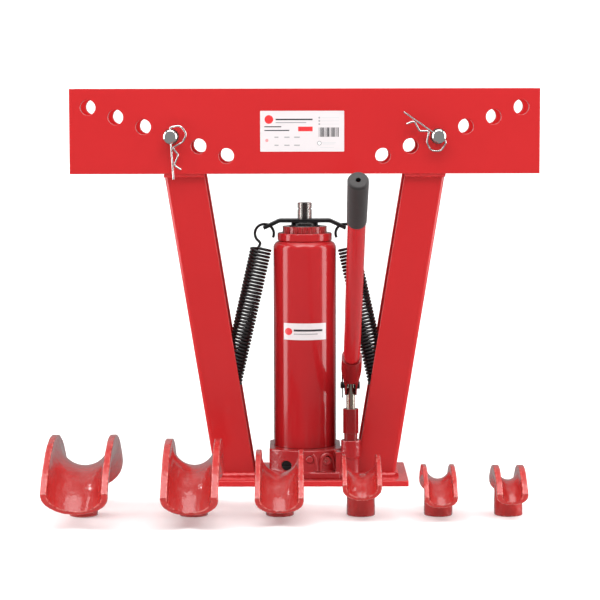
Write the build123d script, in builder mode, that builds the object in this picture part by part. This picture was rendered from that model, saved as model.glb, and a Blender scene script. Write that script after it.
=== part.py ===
"""Twelve-tonne vertical hydraulic pipe bender with its six bending dies.

Millimetres, +Z up. The origin is on the floor, under the axis of the ram. X runs along the two
long cross plates, and Y runs from the operator's side (negative) to the back.
"""
import os
from math import atan2, cos, degrees, radians, sin, tan

from build123d import *

os.makedirs("parts", exist_ok=True)

# ---------------------------------------------------------------- driving dimensions
# Frame
base_length = 259.0          # along X
base_depth = 140.0
base_thick = 7.0
plate_length = 586.0
plate_height = 106.0
plate_thick = 8.0
plate_bottom = 390.0         # height of the cross plates' lower edge
leg_depth = 68.0             # width of the channel's web, and the gap between the plates
leg_flange = 50.7            # width of the channel's flanges, measured level
leg_wall = 5.0
leg_foot_x = 113.9           # outer face of a leg where it meets the base plate
leg_lean = 9.19              # degrees from upright
leg_overlap = 22.0           # how far a leg reaches up between the plates
corner_radius = 6.0          # bend radius on the outside of the channel
flange_edge = 1.5            # rounding of the flanges' free edges
plate_edge = 0.5             # chamfer on sheared and drilled edges
base_corner = 2.0
weld_leg = 6.0

# Rows of adjusting holes
hole_clearance = 2.0         # on the diameter, round a roller's pin
hole_count = 6
hole_first_x = 97.6
hole_pitch_x = 34.4
hole_first_z = 22.5          # above the plates' lower edge
hole_pitch_z = 12.05
roller_hole = 2              # the rollers stand in the third hole of each row

# Rollers, their pins and clips
pin_diameter = 17.0
pin_front = 17.0             # how far a pin stands out of the front plate
pin_head_diameter = 25.0
pin_head_thick = 5.0
pin_head_gap = 0.4
roller_diameter = 44.0
roller_waist = 30.0
groove_half_width = 26.0
roller_side_gap = 1.5
running_clearance = 0.06     # radial, on shafts that turn or slide
clip_wire = 2.4
clip_from_end = 8.0          # cross hole's distance from the pin's front end
clip_clearance = 0.3         # radial, round a clip's straight leg
clip_turns = (3.6, -124.8)   # degrees that the left and the right clip hang turned
clip_points = (
    (0, -53), (0, 11.8), (13.5, 13), (20.3, 2), (14.6, -7.6), (1.6, -13.6), (8.2, -23.2), (2, -35.6),
    (10.2, -41.6)
)
clip_bends = (3.1, 7.5, 7, 7, 2.2, 3, 2.6)
pin_chamfer = 1.5

# Jack
jack_bolt_diameter = 8.0
jack_bolt_y = 42.0
jack_bolt_grip = 14.0        # how deep a bolt screws into the casting
bolt_head_radius = 7.7
bolt_sink = 0.2              # how far a bolt's head lies below the base plate's underside
bolt_clearance = 0.4
casting_radius = 57.0
casting_width = 91.0
casting_height = 36.0
casting_round = 1.5
lip_corner = 5.0
lip_round = 1.5
spigot_bore = 64.0           # ring on the casting that centres the reservoir tube
spigot_height = 4.0
arm_x = 38.0                 # where the pump's arm leaves the casting
arm_depth = 18.0
lip_depth = 58.0             # half of the foot lip's depth
lip_height = 8.5
tube_diameter = 79.5
tube_wall = 3.0
tube_length = 261.0
tube_shoulder = 9.0
tube_mouth = 60.0
fill_plug_z = 230.0
liner_diameter = 50.0
liner_bore = 40.0
liner_seat = 12.0            # how deep the liner and its gasket sit in the casting
tank_nut_diameter = 69.0
tank_nut_height = 10.0
gland_diameter = 56.0
gland_height = 8.3
nut_rim = 4.0                # thickness of the tank nut's top over the liner
nut_round = 1.5
gland_neck = 44.0
gland_reach = 22.0           # how far the gland nut reaches down into the liner
gland_notches = 30
notch_radius = 1.1
ram_wiper_diameter = 40.0
wiper_lip = 0.8
ram_diameter = 34.0
ram_stand_out = 5.0
ram_chamfer = 1.2
ram_stroke = 180.0
tip_diameter = 18.3
tip_length = 24.8
tip_groove_height = 1.6
tip_groove_depth = 1.0
tip_groove_down = 8.6        # from the top of the tip
tip_relief_height = 2.0      # undercut that starts inside the bracket and ends above it
tip_slot_width = 6.0
tip_slot_depth = 1.4
tip_chamfer = 0.8
piston_height = 10.0
piston_cup_height = 6.0
piston_well = 26.0           # from the liner's foot to the piston cup
plug_diameter = 12.0
plug_lip = 2.0
plug_head_gap = 0.4
valve_x = -23.2              # release valve, relief plug and check plug in the casting's front
valve_z = 23.5
valve_radius = 6.0
valve_depth = 20.0
valve_recess = 7.0
valve_gap = 0.3
relief_x = 26.6
relief_z = 29.5
relief_radius = 5.25
relief_length = 13.6
check_x = 5.7
check_z = 31.7
check_radius = 4.6
check_length = 19.6
driver_width = 1.6
driver_depth = 1.5

# Return springs and their bracket
bracket_width = 28.0
bracket_thick = 4.0
bracket_bend_x = 32.0
bracket_tip_reach = 1.1      # past the middle of a spring's loop
bracket_droop = 25.0         # degrees
bracket_bend = 8.0
bracket_clearance = 0.2
slot_inner_reach = 9.7       # the arm's slot, measured inwards from the middle of a spring's loop
slot_outer_reach = 0.8
slot_side_gap = 0.6
spring_diameter = 28.0
spring_wire = 3.0
spring_wall = 1.5            # wall of the tube that stands for the coil
collar_hole_at = 7.0
spring_gap = 0.8             # from a spring to the top of the tube's straight wall
spring_drop = 30.8           # from the ram's shoulder to the top of a spring's coil
spring_lean = 12.7           # degrees
spring_coil_length = 182.0
spring_loop_radius = 12.0
loop_offset = 17.0           # from the end of the coil to the middle of its loop
top_opening = 77.0           # degrees that each loop is left open
bottom_opening = 60.0
anchor_gap = 0.2
anchor_diameter = 6.0

# Pump
pump_x = 57.5
pump_y = -47.0
pump_boss_diameter = 25.4
pump_boss_top = 56.0
pump_boss_waist = 22.0
pump_boss_height = 22.0
pump_well = 6.0
barrel_diameter = 19.6
barrel_flats = 18.2
barrel_neck = 16.8
barrel_neck_height = 8.3
barrel_hex_height = 31.1
barrel_stem_diameter = 16.0
barrel_stem_length = 28.0
plunger_diameter = 10.7
plunger_bottom = 44.0
pump_pin_z = 125.0
pump_pin_diameter = 8.0
pump_pin_head = 9.6
pump_pin_head_thick = 3.6
pin_tail_reach = 13.2        # from the pump's axis to the pin's free end
pin_side_gap = 0.4
plunger_crown = 6.5
plunger_crown_round = 3.0
hairpin_x = 46.7
hairpin_wire = 1.6
hairpin_points = ((0, -16), (0, 14), (-9, 14), (-9, 4), (-5.9, -4), (-8, -15))
hairpin_bend = 3.5
wiper_height = 3.0
wiper_diameter = 14.0
lever_arm = 24.0             # from the fulcrum to the pump pin
lever_rise = 15.0            # degrees that the pump pin stands above the fulcrum
fulcrum_pin_diameter = 8.0
fulcrum_post_depth = 16.0
fulcrum_bolt_z = 32.0
fulcrum_bolt_grip = 9.0
bolt_hex = 13.0
bolt_hex_thick = 3.6
post_bottom = 17.0

# Handle
handle_tilt = 52.0           # degrees from upright, towards the operator
socket_diameter = 25.4
socket_mouth = 69.0          # distances along the handle, from the pump pin
socket_bottom = 38.0
socket_fork_top = 14.0
fork_width = 14.8
fork_wall = 1.8
fork_side_clearance = 0.45   # between a cheek of the fork and the fulcrum post
fork_heel_radius = 9.0
fork_root = 26.0             # how far the cheeks run up the socket
fork_slot_top = 24.0         # the top of the space between the cheeks
slot_travel = 1.4            # how far the pump pin wanders along the fork's slot
slot_clearance = 0.35
handle_diameter = 20.5
handle_wall = 2.0
handle_end = 437.0
grip_start = 362.0
grip_end = 443.0
grip_diameter = 24.0
grip_small_diameter = 22.6
grip_round = 3.0
grip_vent = 6.0
socket_clearance = 0.3

# Bending dies: pipe outside diameter, bend radius at the groove's bottom, width, rim height,
# height of the groove's crest, half of the arc it spans, and place along X
dies = {
    "die_2_inch": (60.3, 127.0, 76.5, 35.7, 58.0, 45.0, -259.7),
    "die_1_1_2_inch": (48.3, 122.0, 66.0, 31.0, 58.0, 47.0, -131.0),
    "die_1_1_4_inch": (42.4, 105.0, 56.5, 27.0, 49.0, 45.0, -30.0),
    "die_1_inch": (33.7, 80.0, 46.0, 23.0, 48.0, 40.0, 64.5),
    "die_3_4_inch": (26.9, 74.0, 39.0, 17.0, 42.0, 45.0, 155.0),
    "die_1_2_inch": (21.3, 64.0, 37.0, 17.0, 41.0, 45.0, 237.0),
}
die_row_y = -250.0
die_shell = 6.0
die_round = 0.46             # outer corner radius of a die's section, as a share of its width
die_hub_diameter = 34.0
die_socket_diameter = 18.8
die_socket_depth = 24.0
die_edge = 1.2

# Labels
label_thick = 0.3
plate_label_length = 104.5
plate_label_height = 50.6
plate_label_x = -3.0
jack_label_width = 58.0      # measured round the tube
jack_label_height = 21.0
jack_label_z = 191.5
label_corner = 1.0

# ---------------------------------------------------------------- worked out from these
sides = {"left": -1, "right": 1}
half_gap = leg_depth / 2
hole_diameter = pin_diameter + hole_clearance
leg_top = plate_bottom + leg_overlap
plate_top = plate_bottom + plate_height
lean_slope = tan(radians(leg_lean))
casting_top = base_thick + casting_height
tube_top = casting_top + tube_length
tank_nut_top = tube_top + tank_nut_height
gland_top = tank_nut_top + gland_height
shoulder_z = gland_top + ram_stand_out
bracket_top = shoulder_z + bracket_thick
spring_top_z = shoulder_z - spring_drop
spring_slope = tan(radians(spring_lean))
spring_half_width = (spring_diameter / 2 + spring_gap) / cos(radians(spring_lean))
spring_rise = spring_top_z - (tube_top - tube_shoulder)
spring_top_x = tube_diameter / 2 + spring_half_width - spring_rise * spring_slope
tip_top = shoulder_z + tip_length
liner_bottom = casting_top - liner_seat
piston_bottom = liner_bottom + piston_well
ram_bottom = piston_bottom + piston_cup_height + piston_height
plate_front = half_gap + plate_thick
clip_y = -(plate_front + pin_front - clip_from_end)
fulcrum_y = pump_y + lever_arm * cos(radians(lever_rise))
fulcrum_z = pump_pin_z - lever_arm * sin(radians(lever_rise))
barrel_hex_bottom = pump_boss_top + barrel_neck_height
barrel_top = barrel_hex_bottom + barrel_hex_height
fork_gap = fork_width - 2 * fork_wall
post_width = fork_gap - 2 * fork_side_clearance
post_face_x = pump_x - post_width / 2
gland_bottom = tank_nut_top - gland_reach
fork_space = 2 * (lever_arm + fork_heel_radius + fork_slot_top)


def leg_outer_x(z):
    """Distance from the ram's axis to a leg's outer face at height z."""
    return leg_foot_x + (z - base_thick) * lean_slope


def hole_x(k):
    """Distance from the ram's axis to hole k of a row, counted from the inner end."""
    return hole_first_x + k * hole_pitch_x


def hole_z(k):
    """Height of hole k of a row."""
    return plate_bottom + hole_first_z + k * hole_pitch_z


def spring_at(side, distance):
    """Point on a return spring's axis, measured down from the top of its coil."""
    return (side * (spring_top_x + distance * sin(radians(spring_lean))), 0,
            spring_top_z - distance * cos(radians(spring_lean)))


def write(part, name):
    """Label a finished piece and write it as its own file."""
    part.label = name
    export_step(part, f"parts/{name}.step")


roller_x = hole_x(roller_hole)
roller_z = hole_z(roller_hole)
anchor_seat = spring_loop_radius - spring_wire / 2 - anchor_diameter / 2 - anchor_gap
anchor_x, _, anchor_z = spring_at(1, spring_coil_length + loop_offset + anchor_seat)
loop_x = spring_at(1, -loop_offset)[0]
bracket_tip_x = loop_x + bracket_tip_reach
slot_inner_x = loop_x - slot_inner_reach
slot_outer_x = loop_x - slot_outer_reach

# ---------------------------------------------------------------- frame
with BuildPart() as base_plate:
    with BuildSketch():
        RectangleRounded(base_length, base_depth, base_corner)
    extrude(amount=base_thick)
    chamfer(base_plate.faces().filter_by(Axis.Z).edges(), plate_edge)
    for bolt_y in (-jack_bolt_y, jack_bolt_y):
        with Locations(Location((0, bolt_y, 0), (180, 0, 0))):
            CounterSinkHole(jack_bolt_diameter / 2 + bolt_clearance, bolt_head_radius + bolt_clearance,
                            depth=base_thick, counter_sink_angle=90)
write(base_plate.part, "base_plate")

for side_name, side in sides.items():
    with BuildPart() as leg:
        with BuildSketch(Plane.XY.offset(base_thick)) as channel:
            with Locations((side * (leg_foot_x - leg_flange / 2), 0)):
                Rectangle(leg_flange, leg_depth)
            fillet(channel.vertices().group_by(Axis.X)[0 if side < 0 else -1], corner_radius)
            with Locations((side * (leg_foot_x - leg_wall - leg_flange / 2), 0)):
                RectangleRounded(leg_flange, leg_depth - 2 * leg_wall, corner_radius - leg_wall + 1,
                                 mode=Mode.SUBTRACT)
            fillet(channel.vertices().group_by(Axis.X)[-1 if side < 0 else 0], flange_edge)
        extrude(amount=leg_top - base_thick, dir=(side * lean_slope, 0, 1))
    write(leg.part, f"leg_{side_name}")

    with BuildPart() as anchor:
        with BuildSketch(Plane.XZ):
            with Locations((side * anchor_x, anchor_z)):
                Circle(anchor_diameter / 2)
        extrude(amount=half_gap - leg_wall, both=True)
    write(anchor.part, f"spring_anchor_{side_name}")

for plate_name, back_y in (("front", -half_gap), ("rear", plate_front)):
    with BuildPart() as cross_plate:
        with BuildSketch(Plane.XZ.offset(-back_y)):
            with Locations((0, (plate_bottom + plate_top) / 2)):
                Rectangle(plate_length, plate_height)
            with Locations([(side * hole_x(k), hole_z(k)) for side in (-1, 1) for k in range(hole_count)]):
                Circle(hole_diameter / 2, mode=Mode.SUBTRACT)
        extrude(amount=plate_thick)
        chamfer(cross_plate.faces().filter_by(Axis.Y).edges(), plate_edge)
    write(cross_plate.part, f"cross_plate_{plate_name}")

# Fillet welds: under the cross plates against the legs, and round three sides of each foot.
with BuildPart() as plate_welds:
    for side in sides.values():
        for face in (-1, 1):
            with BuildSketch(Plane.YZ.offset(side * (leg_outer_x(plate_bottom) - corner_radius))):
                Polygon((face * half_gap, plate_bottom), (face * (half_gap + weld_leg), plate_bottom),
                        (face * half_gap, plate_bottom - weld_leg), align=None)
            extrude(amount=-side * (leg_flange - corner_radius - weld_leg))
write(plate_welds.part, "plate_welds")

with BuildPart() as foot_welds:
    for side in sides.values():
        for face in (-1, 1):
            with BuildSketch(Plane.YZ.offset(side * (leg_foot_x - corner_radius))):
                Polygon((face * half_gap, base_thick), (face * (half_gap + weld_leg), base_thick),
                        (face * half_gap, base_thick + weld_leg), align=None)
            extrude(amount=-side * (leg_flange - corner_radius - flange_edge - 1))
        with BuildSketch(Plane.XZ):
            Polygon((side * leg_foot_x, base_thick), (side * (leg_foot_x + weld_leg), base_thick),
                    (side * leg_outer_x(base_thick + weld_leg), base_thick + weld_leg), align=None)
        extrude(amount=half_gap - corner_radius, both=True)
write(foot_welds.part, "foot_welds")

with BuildPart() as plate_label:
    with BuildSketch(Plane.XZ.offset(plate_front)):
        with Locations((plate_label_x, (plate_bottom + plate_top) / 2)):
            RectangleRounded(plate_label_length, plate_label_height, label_corner)
    extrude(amount=label_thick)
write(plate_label.part, "plate_label")

# ---------------------------------------------------------------- rollers, pins and clips
for (side_name, side), clip_turn in zip(sides.items(), clip_turns):
    centre = (side * roller_x, 0, roller_z)
    axle = Axis(centre, (0, 1, 0))
    with BuildPart() as roller:
        with BuildSketch(Plane(origin=centre)):
            half_width = half_gap - roller_side_gap
            bore = pin_diameter / 2 + running_clearance
            rim = roller_diameter / 2
            with Locations(((bore + rim) / 2, 0)):
                Rectangle(rim - bore, 2 * half_width)
            waist_arc = ((rim - roller_waist / 2) ** 2 + groove_half_width ** 2) / (2 * rim - roller_waist)
            with Locations((roller_waist / 2 + waist_arc, 0)):
                Circle(waist_arc, mode=Mode.SUBTRACT)
        revolve(axis=axle)
    write(roller.part, f"roller_{side_name}")

    leg_direction = (-sin(radians(clip_turn)), 0, cos(radians(clip_turn)))
    clip_plane = Plane(origin=(side * roller_x, clip_y, roller_z),
                       x_dir=(cos(radians(clip_turn)), 0, sin(radians(clip_turn))), z_dir=(0, -1, 0))
    with BuildPart() as roller_pin:
        with BuildSketch(Plane.XZ.offset(plate_front + pin_front)):
            with Locations((side * roller_x, roller_z)):
                Circle(pin_diameter / 2)
        extrude(amount=-(2 * plate_front + pin_front + pin_head_gap))
        chamfer(roller_pin.edges().filter_by(GeomType.CIRCLE).sort_by(Axis.Y)[0], pin_chamfer)
        with BuildSketch(Plane.XZ.offset(-(plate_front + pin_head_gap + pin_head_thick))):
            with Locations((side * roller_x, roller_z)):
                Circle(pin_head_diameter / 2)
        extrude(amount=pin_head_thick)
        with BuildSketch(Plane(origin=clip_plane.origin, z_dir=leg_direction)):
            Circle(clip_wire / 2 + clip_clearance)
        extrude(amount=pin_diameter, both=True, mode=Mode.SUBTRACT)
    write(roller_pin.part, f"roller_pin_{side_name}")

    with BuildPart() as clip:
        with BuildLine(clip_plane) as clip_path:
            FilletPolyline(*clip_points, radius=clip_bends)
        with BuildSketch(Plane(origin=clip_path.line @ 0, z_dir=clip_path.line % 0)):
            Circle(clip_wire / 2)
        sweep(path=clip_path.line)
    write(clip.part, f"roller_clip_{side_name}")

# ---------------------------------------------------------------- jack
with BuildPart() as jack_base:
    with BuildSketch(Plane.XY.offset(base_thick)):
        RectangleRounded(casting_width, 2 * lip_depth, lip_corner)
    extrude(amount=lip_height)
    fillet(jack_base.faces().sort_by(Axis.Z)[-1].edges(), lip_round)
    with BuildSketch(Plane.XY.offset(base_thick)):
        Circle(casting_radius)
        Rectangle(casting_width, 2 * casting_radius, mode=Mode.INTERSECT)
    extrude(amount=casting_height)
    fillet(jack_base.faces().sort_by(Axis.Z)[-1].edges(), casting_round)
    # The pump's boss, on an arm at the right front corner
    with BuildSketch(Plane.XY.offset(base_thick)):
        with Locations((pump_x, pump_y)):
            Circle(pump_boss_waist / 2)
        with Locations(((arm_x + pump_x) / 2, pump_y)):
            Rectangle(pump_x - arm_x, arm_depth)
    extrude(amount=casting_height - casting_round)
    with BuildSketch(Plane.XY.offset(pump_boss_top)):
        with Locations((pump_x, pump_y)):
            Circle(pump_boss_diameter / 2)
    extrude(amount=-pump_boss_height)
    chamfer(jack_base.faces().sort_by(Axis.Z)[-1].edges(), plate_edge)
    # The lug that carries the fulcrum post
    with BuildSketch(Plane.XY.offset(base_thick)):
        with Locations(((arm_x + post_face_x) / 2, fulcrum_y)):
            Rectangle(post_face_x - arm_x, fulcrum_post_depth)
    extrude(amount=casting_height)
    # Seats for the liner, the reservoir tube, the pump barrel, the plugs and the bolts
    with BuildSketch(Plane.XY.offset(casting_top)):
        Circle(tube_diameter / 2 - tube_wall)
        Circle(spigot_bore / 2, mode=Mode.SUBTRACT)
    extrude(amount=spigot_height)
    with Locations((0, 0, casting_top)):
        Hole(liner_diameter / 2, depth=liner_seat)
    with Locations((pump_x, pump_y, pump_boss_top)):
        Hole(barrel_stem_diameter / 2, depth=barrel_stem_length)
        Hole(plunger_diameter / 2 + bolt_clearance, depth=barrel_stem_length + pump_well)
    for x, z, radius, depth in ((valve_x, valve_z, valve_radius + running_clearance, valve_depth),
                                (relief_x, relief_z, relief_radius, valve_depth),
                                (check_x, check_z, check_radius, valve_depth)):
        with BuildSketch(Plane.XZ.offset(lip_depth)):
            with Locations((x, z)):
                Circle(radius)
        extrude(amount=-depth, mode=Mode.SUBTRACT)
    with Locations(*[Location((0, y, base_thick), (180, 0, 0)) for y in (-jack_bolt_y, jack_bolt_y)]):
        Hole(jack_bolt_diameter / 2, depth=jack_bolt_grip)
    with Locations(Location((post_face_x, fulcrum_y, fulcrum_bolt_z), (0, 90, 0))):
        Hole(jack_bolt_diameter / 2, depth=fulcrum_bolt_grip)
write(jack_base.part, "jack_base")

with BuildPart() as jack_bolts:
    for y in (-jack_bolt_y, jack_bolt_y):
        with BuildSketch(Plane(origin=(0, y, 0), x_dir=(1, 0, 0), z_dir=(0, -1, 0))):
            Polygon((0, bolt_sink), (bolt_head_radius, bolt_sink),
                    (jack_bolt_diameter / 2, bolt_sink + bolt_head_radius - jack_bolt_diameter / 2),
                    (jack_bolt_diameter / 2, base_thick + jack_bolt_grip),
                    (0, base_thick + jack_bolt_grip), align=None)
        revolve(axis=Axis((0, y, 0), (0, 0, 1)))
write(jack_bolts.part, "jack_bolts")

with BuildPart() as cylinder_liner:
    with BuildSketch(Plane.XY.offset(liner_bottom)):
        Circle(liner_diameter / 2)
        Circle(liner_bore / 2, mode=Mode.SUBTRACT)
    extrude(amount=tank_nut_top - nut_rim - liner_bottom)
write(cylinder_liner.part, "cylinder_liner")

with BuildPart() as reservoir_tube:
    outer, inner = tube_diameter / 2, tube_diameter / 2 - tube_wall
    with BuildSketch(Plane.XZ) as tube_wall_section:
        Polygon((outer, casting_top), (outer, tube_top), (tube_mouth / 2, tube_top),
                (tube_mouth / 2, tube_top - tube_wall), (inner, tube_top - tube_wall),
                (inner, casting_top), align=None)
        fillet(tube_wall_section.vertices().sort_by_distance((outer, tube_top))[0], tube_shoulder)
        fillet(tube_wall_section.vertices().sort_by_distance((inner, tube_top - tube_wall))[0],
               tube_shoulder - tube_wall)
    revolve(axis=Axis.Z)
    with BuildSketch(Plane.XZ.offset(-tube_diameter / 2)):
        with Locations((0, fill_plug_z)):
            Circle(plug_diameter / 2)
    extrude(amount=2 * tube_wall, mode=Mode.SUBTRACT)
write(reservoir_tube.part, "reservoir_tube")

with BuildPart() as fill_plug:
    with BuildSketch(Plane.XZ.offset(-tube_diameter / 2 + 2 * tube_wall)):
        with Locations((0, fill_plug_z)):
            Circle(plug_diameter / 2)
    extrude(amount=-2 * tube_wall)
    with BuildSketch(Plane.XZ.offset(-tube_diameter / 2 - plug_head_gap)):
        with Locations((0, fill_plug_z)):
            Circle(plug_diameter / 2 + plug_lip)
    extrude(amount=-plug_lip)
    with BuildSketch(Plane.XZ.offset(-tube_diameter / 2)):
        with Locations((0, fill_plug_z)):
            Circle(plug_diameter / 2)
    extrude(amount=-plug_head_gap)
write(fill_plug.part, "fill_plug")

with BuildPart() as tank_nut:
    with BuildSketch(Plane.XY.offset(tube_top)):
        Circle(tank_nut_diameter / 2)
    extrude(amount=tank_nut_height)
    fillet(tank_nut.edges().sort_by(Axis.Z)[-1], nut_round)
    fillet(tank_nut.edges().sort_by(Axis.Z)[0], nut_round)
    with BuildSketch(Plane.XY.offset(tube_top)):
        Circle(tube_mouth / 2)
    extrude(amount=-tube_wall)
    with BuildSketch(Plane.XY.offset(tube_top - tube_wall)):
        Circle(liner_diameter / 2)
    extrude(amount=tube_wall + tank_nut_height - nut_rim, mode=Mode.SUBTRACT)
    with Locations((0, 0, tank_nut_top)):
        Hole(gland_neck / 2)
write(tank_nut.part, "tank_nut")

with BuildPart() as gland_nut:
    for bottom, top, diameter in ((tank_nut_top, gland_top, gland_diameter),
                                  (tank_nut_top - nut_rim, tank_nut_top, gland_neck),
                                  (gland_bottom, tank_nut_top - nut_rim, liner_bore)):
        with BuildSketch(Plane.XY.offset(bottom)):
            Circle(diameter / 2)
        extrude(amount=top - bottom)
    with PolarLocations(gland_diameter / 2, gland_notches):
        with Locations((0, 0, tank_nut_top + gland_height / 2)):
            Cylinder(notch_radius, 2 * gland_height, mode=Mode.SUBTRACT)
    with Locations((0, 0, gland_top)):
        Hole(ram_diameter / 2 + running_clearance)
        Hole(ram_wiper_diameter / 2, depth=wiper_height)
write(gland_nut.part, "gland_nut")

with BuildPart() as ram_wiper:
    with BuildSketch(Plane.XY.offset(gland_top - wiper_height)):
        Circle(ram_wiper_diameter / 2)
    extrude(amount=wiper_height + wiper_lip)
    chamfer(ram_wiper.edges().sort_by(Axis.Z)[-1], wiper_lip)
    with Locations((0, 0, gland_top + wiper_lip)):
        Hole(ram_diameter / 2 + running_clearance)
write(ram_wiper.part, "ram_wiper")

with BuildPart() as ram:
    with BuildSketch(Plane.XY.offset(ram_bottom)):
        Circle(ram_diameter / 2)
    extrude(amount=shoulder_z - ram_bottom)
    chamfer(ram.edges().sort_by(Axis.Z)[-1], ram_chamfer)
    with BuildSketch(Plane.XY.offset(shoulder_z)):
        Circle(tip_diameter / 2)
    extrude(amount=tip_length)
    chamfer(ram.edges().sort_by(Axis.Z)[-1], tip_chamfer)
    for ring_z, ring_height in ((tip_top - tip_groove_down, tip_groove_height),
                                (bracket_top - tip_relief_height / 2, tip_relief_height)):
        with BuildSketch(Plane.XY.offset(ring_z)):
            Circle(tip_diameter)
            Circle(tip_diameter / 2 - tip_groove_depth, mode=Mode.SUBTRACT)
        extrude(amount=ring_height, mode=Mode.SUBTRACT)
    with Locations((0, -tip_diameter / 2, shoulder_z + tip_length / 2)):
        Box(tip_slot_width, 2 * tip_slot_depth, tip_length, mode=Mode.SUBTRACT)
write(ram.part, "ram")

for name, bottom, height in (("piston", ram_bottom - piston_height, piston_height),
                             ("piston_cup", piston_bottom, piston_cup_height)):
    with BuildPart() as piston:
        with BuildSketch(Plane.XY.offset(bottom)):
            Circle(liner_bore / 2 - running_clearance)
        extrude(amount=height)
    write(piston.part, name)

with BuildPart() as release_valve:
    with BuildSketch(Plane.XZ.offset(lip_depth - valve_recess)):
        with Locations((valve_x, valve_z)):
            Circle(valve_radius)
    extrude(amount=-(valve_depth - valve_recess - valve_gap))
    with Locations((valve_x, valve_recess - lip_depth, valve_z)):
        Box(2 * valve_radius, 2 * driver_depth, driver_width, mode=Mode.SUBTRACT)
write(release_valve.part, "release_valve")

with BuildPart() as relief_plug:
    with BuildSketch(Plane.XZ.offset(lip_depth - valve_depth)):
        with Locations((relief_x, relief_z)):
            Circle(relief_radius)
    extrude(amount=relief_length)
    with Locations((relief_x, lip_depth * -1 + valve_depth - relief_length, relief_z)):
        Box(relief_radius, 2 * driver_depth, driver_width, mode=Mode.SUBTRACT)
        Box(driver_width, 2 * driver_depth, relief_radius, mode=Mode.SUBTRACT)
write(relief_plug.part, "relief_plug")

with BuildPart() as check_plug:
    with BuildSketch(Plane.XZ.offset(lip_depth - valve_depth)):
        with Locations((check_x, check_z)):
            Circle(check_radius)
    extrude(amount=check_length)
    fillet(check_plug.edges().sort_by(Axis.Y)[0], nut_round)
write(check_plug.part, "check_plug")

with BuildPart() as jack_label:
    with BuildSketch(Plane.XY.offset(jack_label_z - jack_label_height / 2)):
        Circle(tube_diameter / 2 + label_thick)
        Circle(tube_diameter / 2, mode=Mode.SUBTRACT)
        with Locations((0, -tube_diameter / 2)):
            Rectangle(tube_diameter * sin(jack_label_width / tube_diameter),
                      tube_diameter / 2, mode=Mode.INTERSECT)
    extrude(amount=jack_label_height)
write(jack_label.part, "jack_label")

# ---------------------------------------------------------------- return springs
with BuildPart() as spring_bracket:
    droop = (bracket_tip_x - bracket_bend_x) * tan(radians(bracket_droop))
    middle_z = shoulder_z + bracket_thick / 2
    with BuildLine(Plane.XZ) as bracket_line:
        FilletPolyline((-bracket_tip_x, middle_z - droop), (-bracket_bend_x, middle_z),
                       (bracket_bend_x, middle_z), (bracket_tip_x, middle_z - droop),
                       radius=bracket_bend)
    with BuildSketch(Plane(origin=bracket_line.line @ 0, x_dir=(0, 1, 0), z_dir=bracket_line.line % 0)):
        Rectangle(bracket_width, bracket_thick)
    sweep(path=bracket_line.line)
    with Locations((0, 0, bracket_top)):
        Hole(tip_diameter / 2 + bracket_clearance, depth=2 * bracket_thick)
    for side in sides.values():
        with Locations((side * (slot_inner_x + slot_outer_x) / 2, 0, middle_z)):
            Box(slot_outer_x - slot_inner_x, spring_wire + 2 * slot_side_gap, 4 * droop, mode=Mode.SUBTRACT)
write(spring_bracket.part, "spring_bracket")

for side_name, side in sides.items():
    up = (-side * sin(radians(spring_lean)), 0, cos(radians(spring_lean)))
    with BuildPart() as spring:
        # The coil is one thin tube with an open collar at each end.
        coil_foot = spring_at(side, spring_coil_length)
        with BuildSketch(Plane(origin=coil_foot, z_dir=up)):
            Circle(spring_diameter / 2)
            Circle(spring_diameter / 2 - spring_wall, mode=Mode.SUBTRACT)
        extrude(amount=spring_coil_length)
        for distance in (spring_coil_length, spring_wire):
            with BuildSketch(Plane(origin=spring_at(side, distance), z_dir=up)):
                Circle(spring_diameter / 2)
                with Locations((collar_hole_at, 0)):
                    Circle(spring_wire, mode=Mode.SUBTRACT)
            extrude(amount=spring_wire)
        # Each end is drawn out into an open loop in the plane of the two springs.
        for loop_at, tail, open_angle in ((-loop_offset, 1, top_opening),
                                          (spring_coil_length + loop_offset, -1, bottom_opening)):
            centre_x, _, centre_z = spring_at(side, loop_at)
            root_angle = degrees(atan2(-tail * up[2], -tail * up[0]))
            with BuildLine(Plane.XZ) as loop_line:
                CenterArc((centre_x, centre_z), spring_loop_radius, root_angle,
                          tail * side * (360 - open_angle))
            with BuildSketch(Plane(origin=loop_line.line @ 0, z_dir=loop_line.line % 0)):
                Circle(spring_wire / 2)
            sweep(path=loop_line.line)
            root = loop_line.line @ 0
            with BuildSketch(Plane(origin=root, z_dir=tuple(-tail * c for c in up))):
                Circle(spring_wire / 2)
            extrude(amount=loop_offset - spring_loop_radius + spring_wire / 2)
    write(spring.part, f"return_spring_{side_name}")

# ---------------------------------------------------------------- pump
with BuildPart() as pump_barrel:
    with BuildSketch(Plane.XY.offset(pump_boss_top)):
        with Locations((pump_x, pump_y)):
            Circle(barrel_stem_diameter / 2)
    extrude(amount=-barrel_stem_length)
    with BuildSketch(Plane.XY.offset(pump_boss_top)):
        with Locations((pump_x, pump_y)):
            Circle(barrel_neck / 2)
    extrude(amount=barrel_neck_height)
    with BuildSketch(Plane.XY.offset(barrel_hex_bottom)):
        with Locations((pump_x, pump_y)):
            RegularPolygon(barrel_flats / 2, 6, major_radius=False)
            Circle(barrel_diameter / 2, mode=Mode.INTERSECT)
    extrude(amount=barrel_hex_height)
    chamfer(pump_barrel.faces().sort_by(Axis.Z)[-1].edges(), plate_edge)
    with Locations((pump_x, pump_y, barrel_top)):
        Hole(plunger_diameter / 2 + running_clearance)
        Hole(wiper_diameter / 2, depth=wiper_height)
write(pump_barrel.part, "pump_barrel")

with BuildPart() as pump_wiper:
    with BuildSketch(Plane.XY.offset(barrel_top - wiper_height)):
        with Locations((pump_x, pump_y)):
            Circle(wiper_diameter / 2)
            Circle(plunger_diameter / 2 + running_clearance, mode=Mode.SUBTRACT)
    extrude(amount=wiper_height)
write(pump_wiper.part, "pump_wiper")

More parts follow.
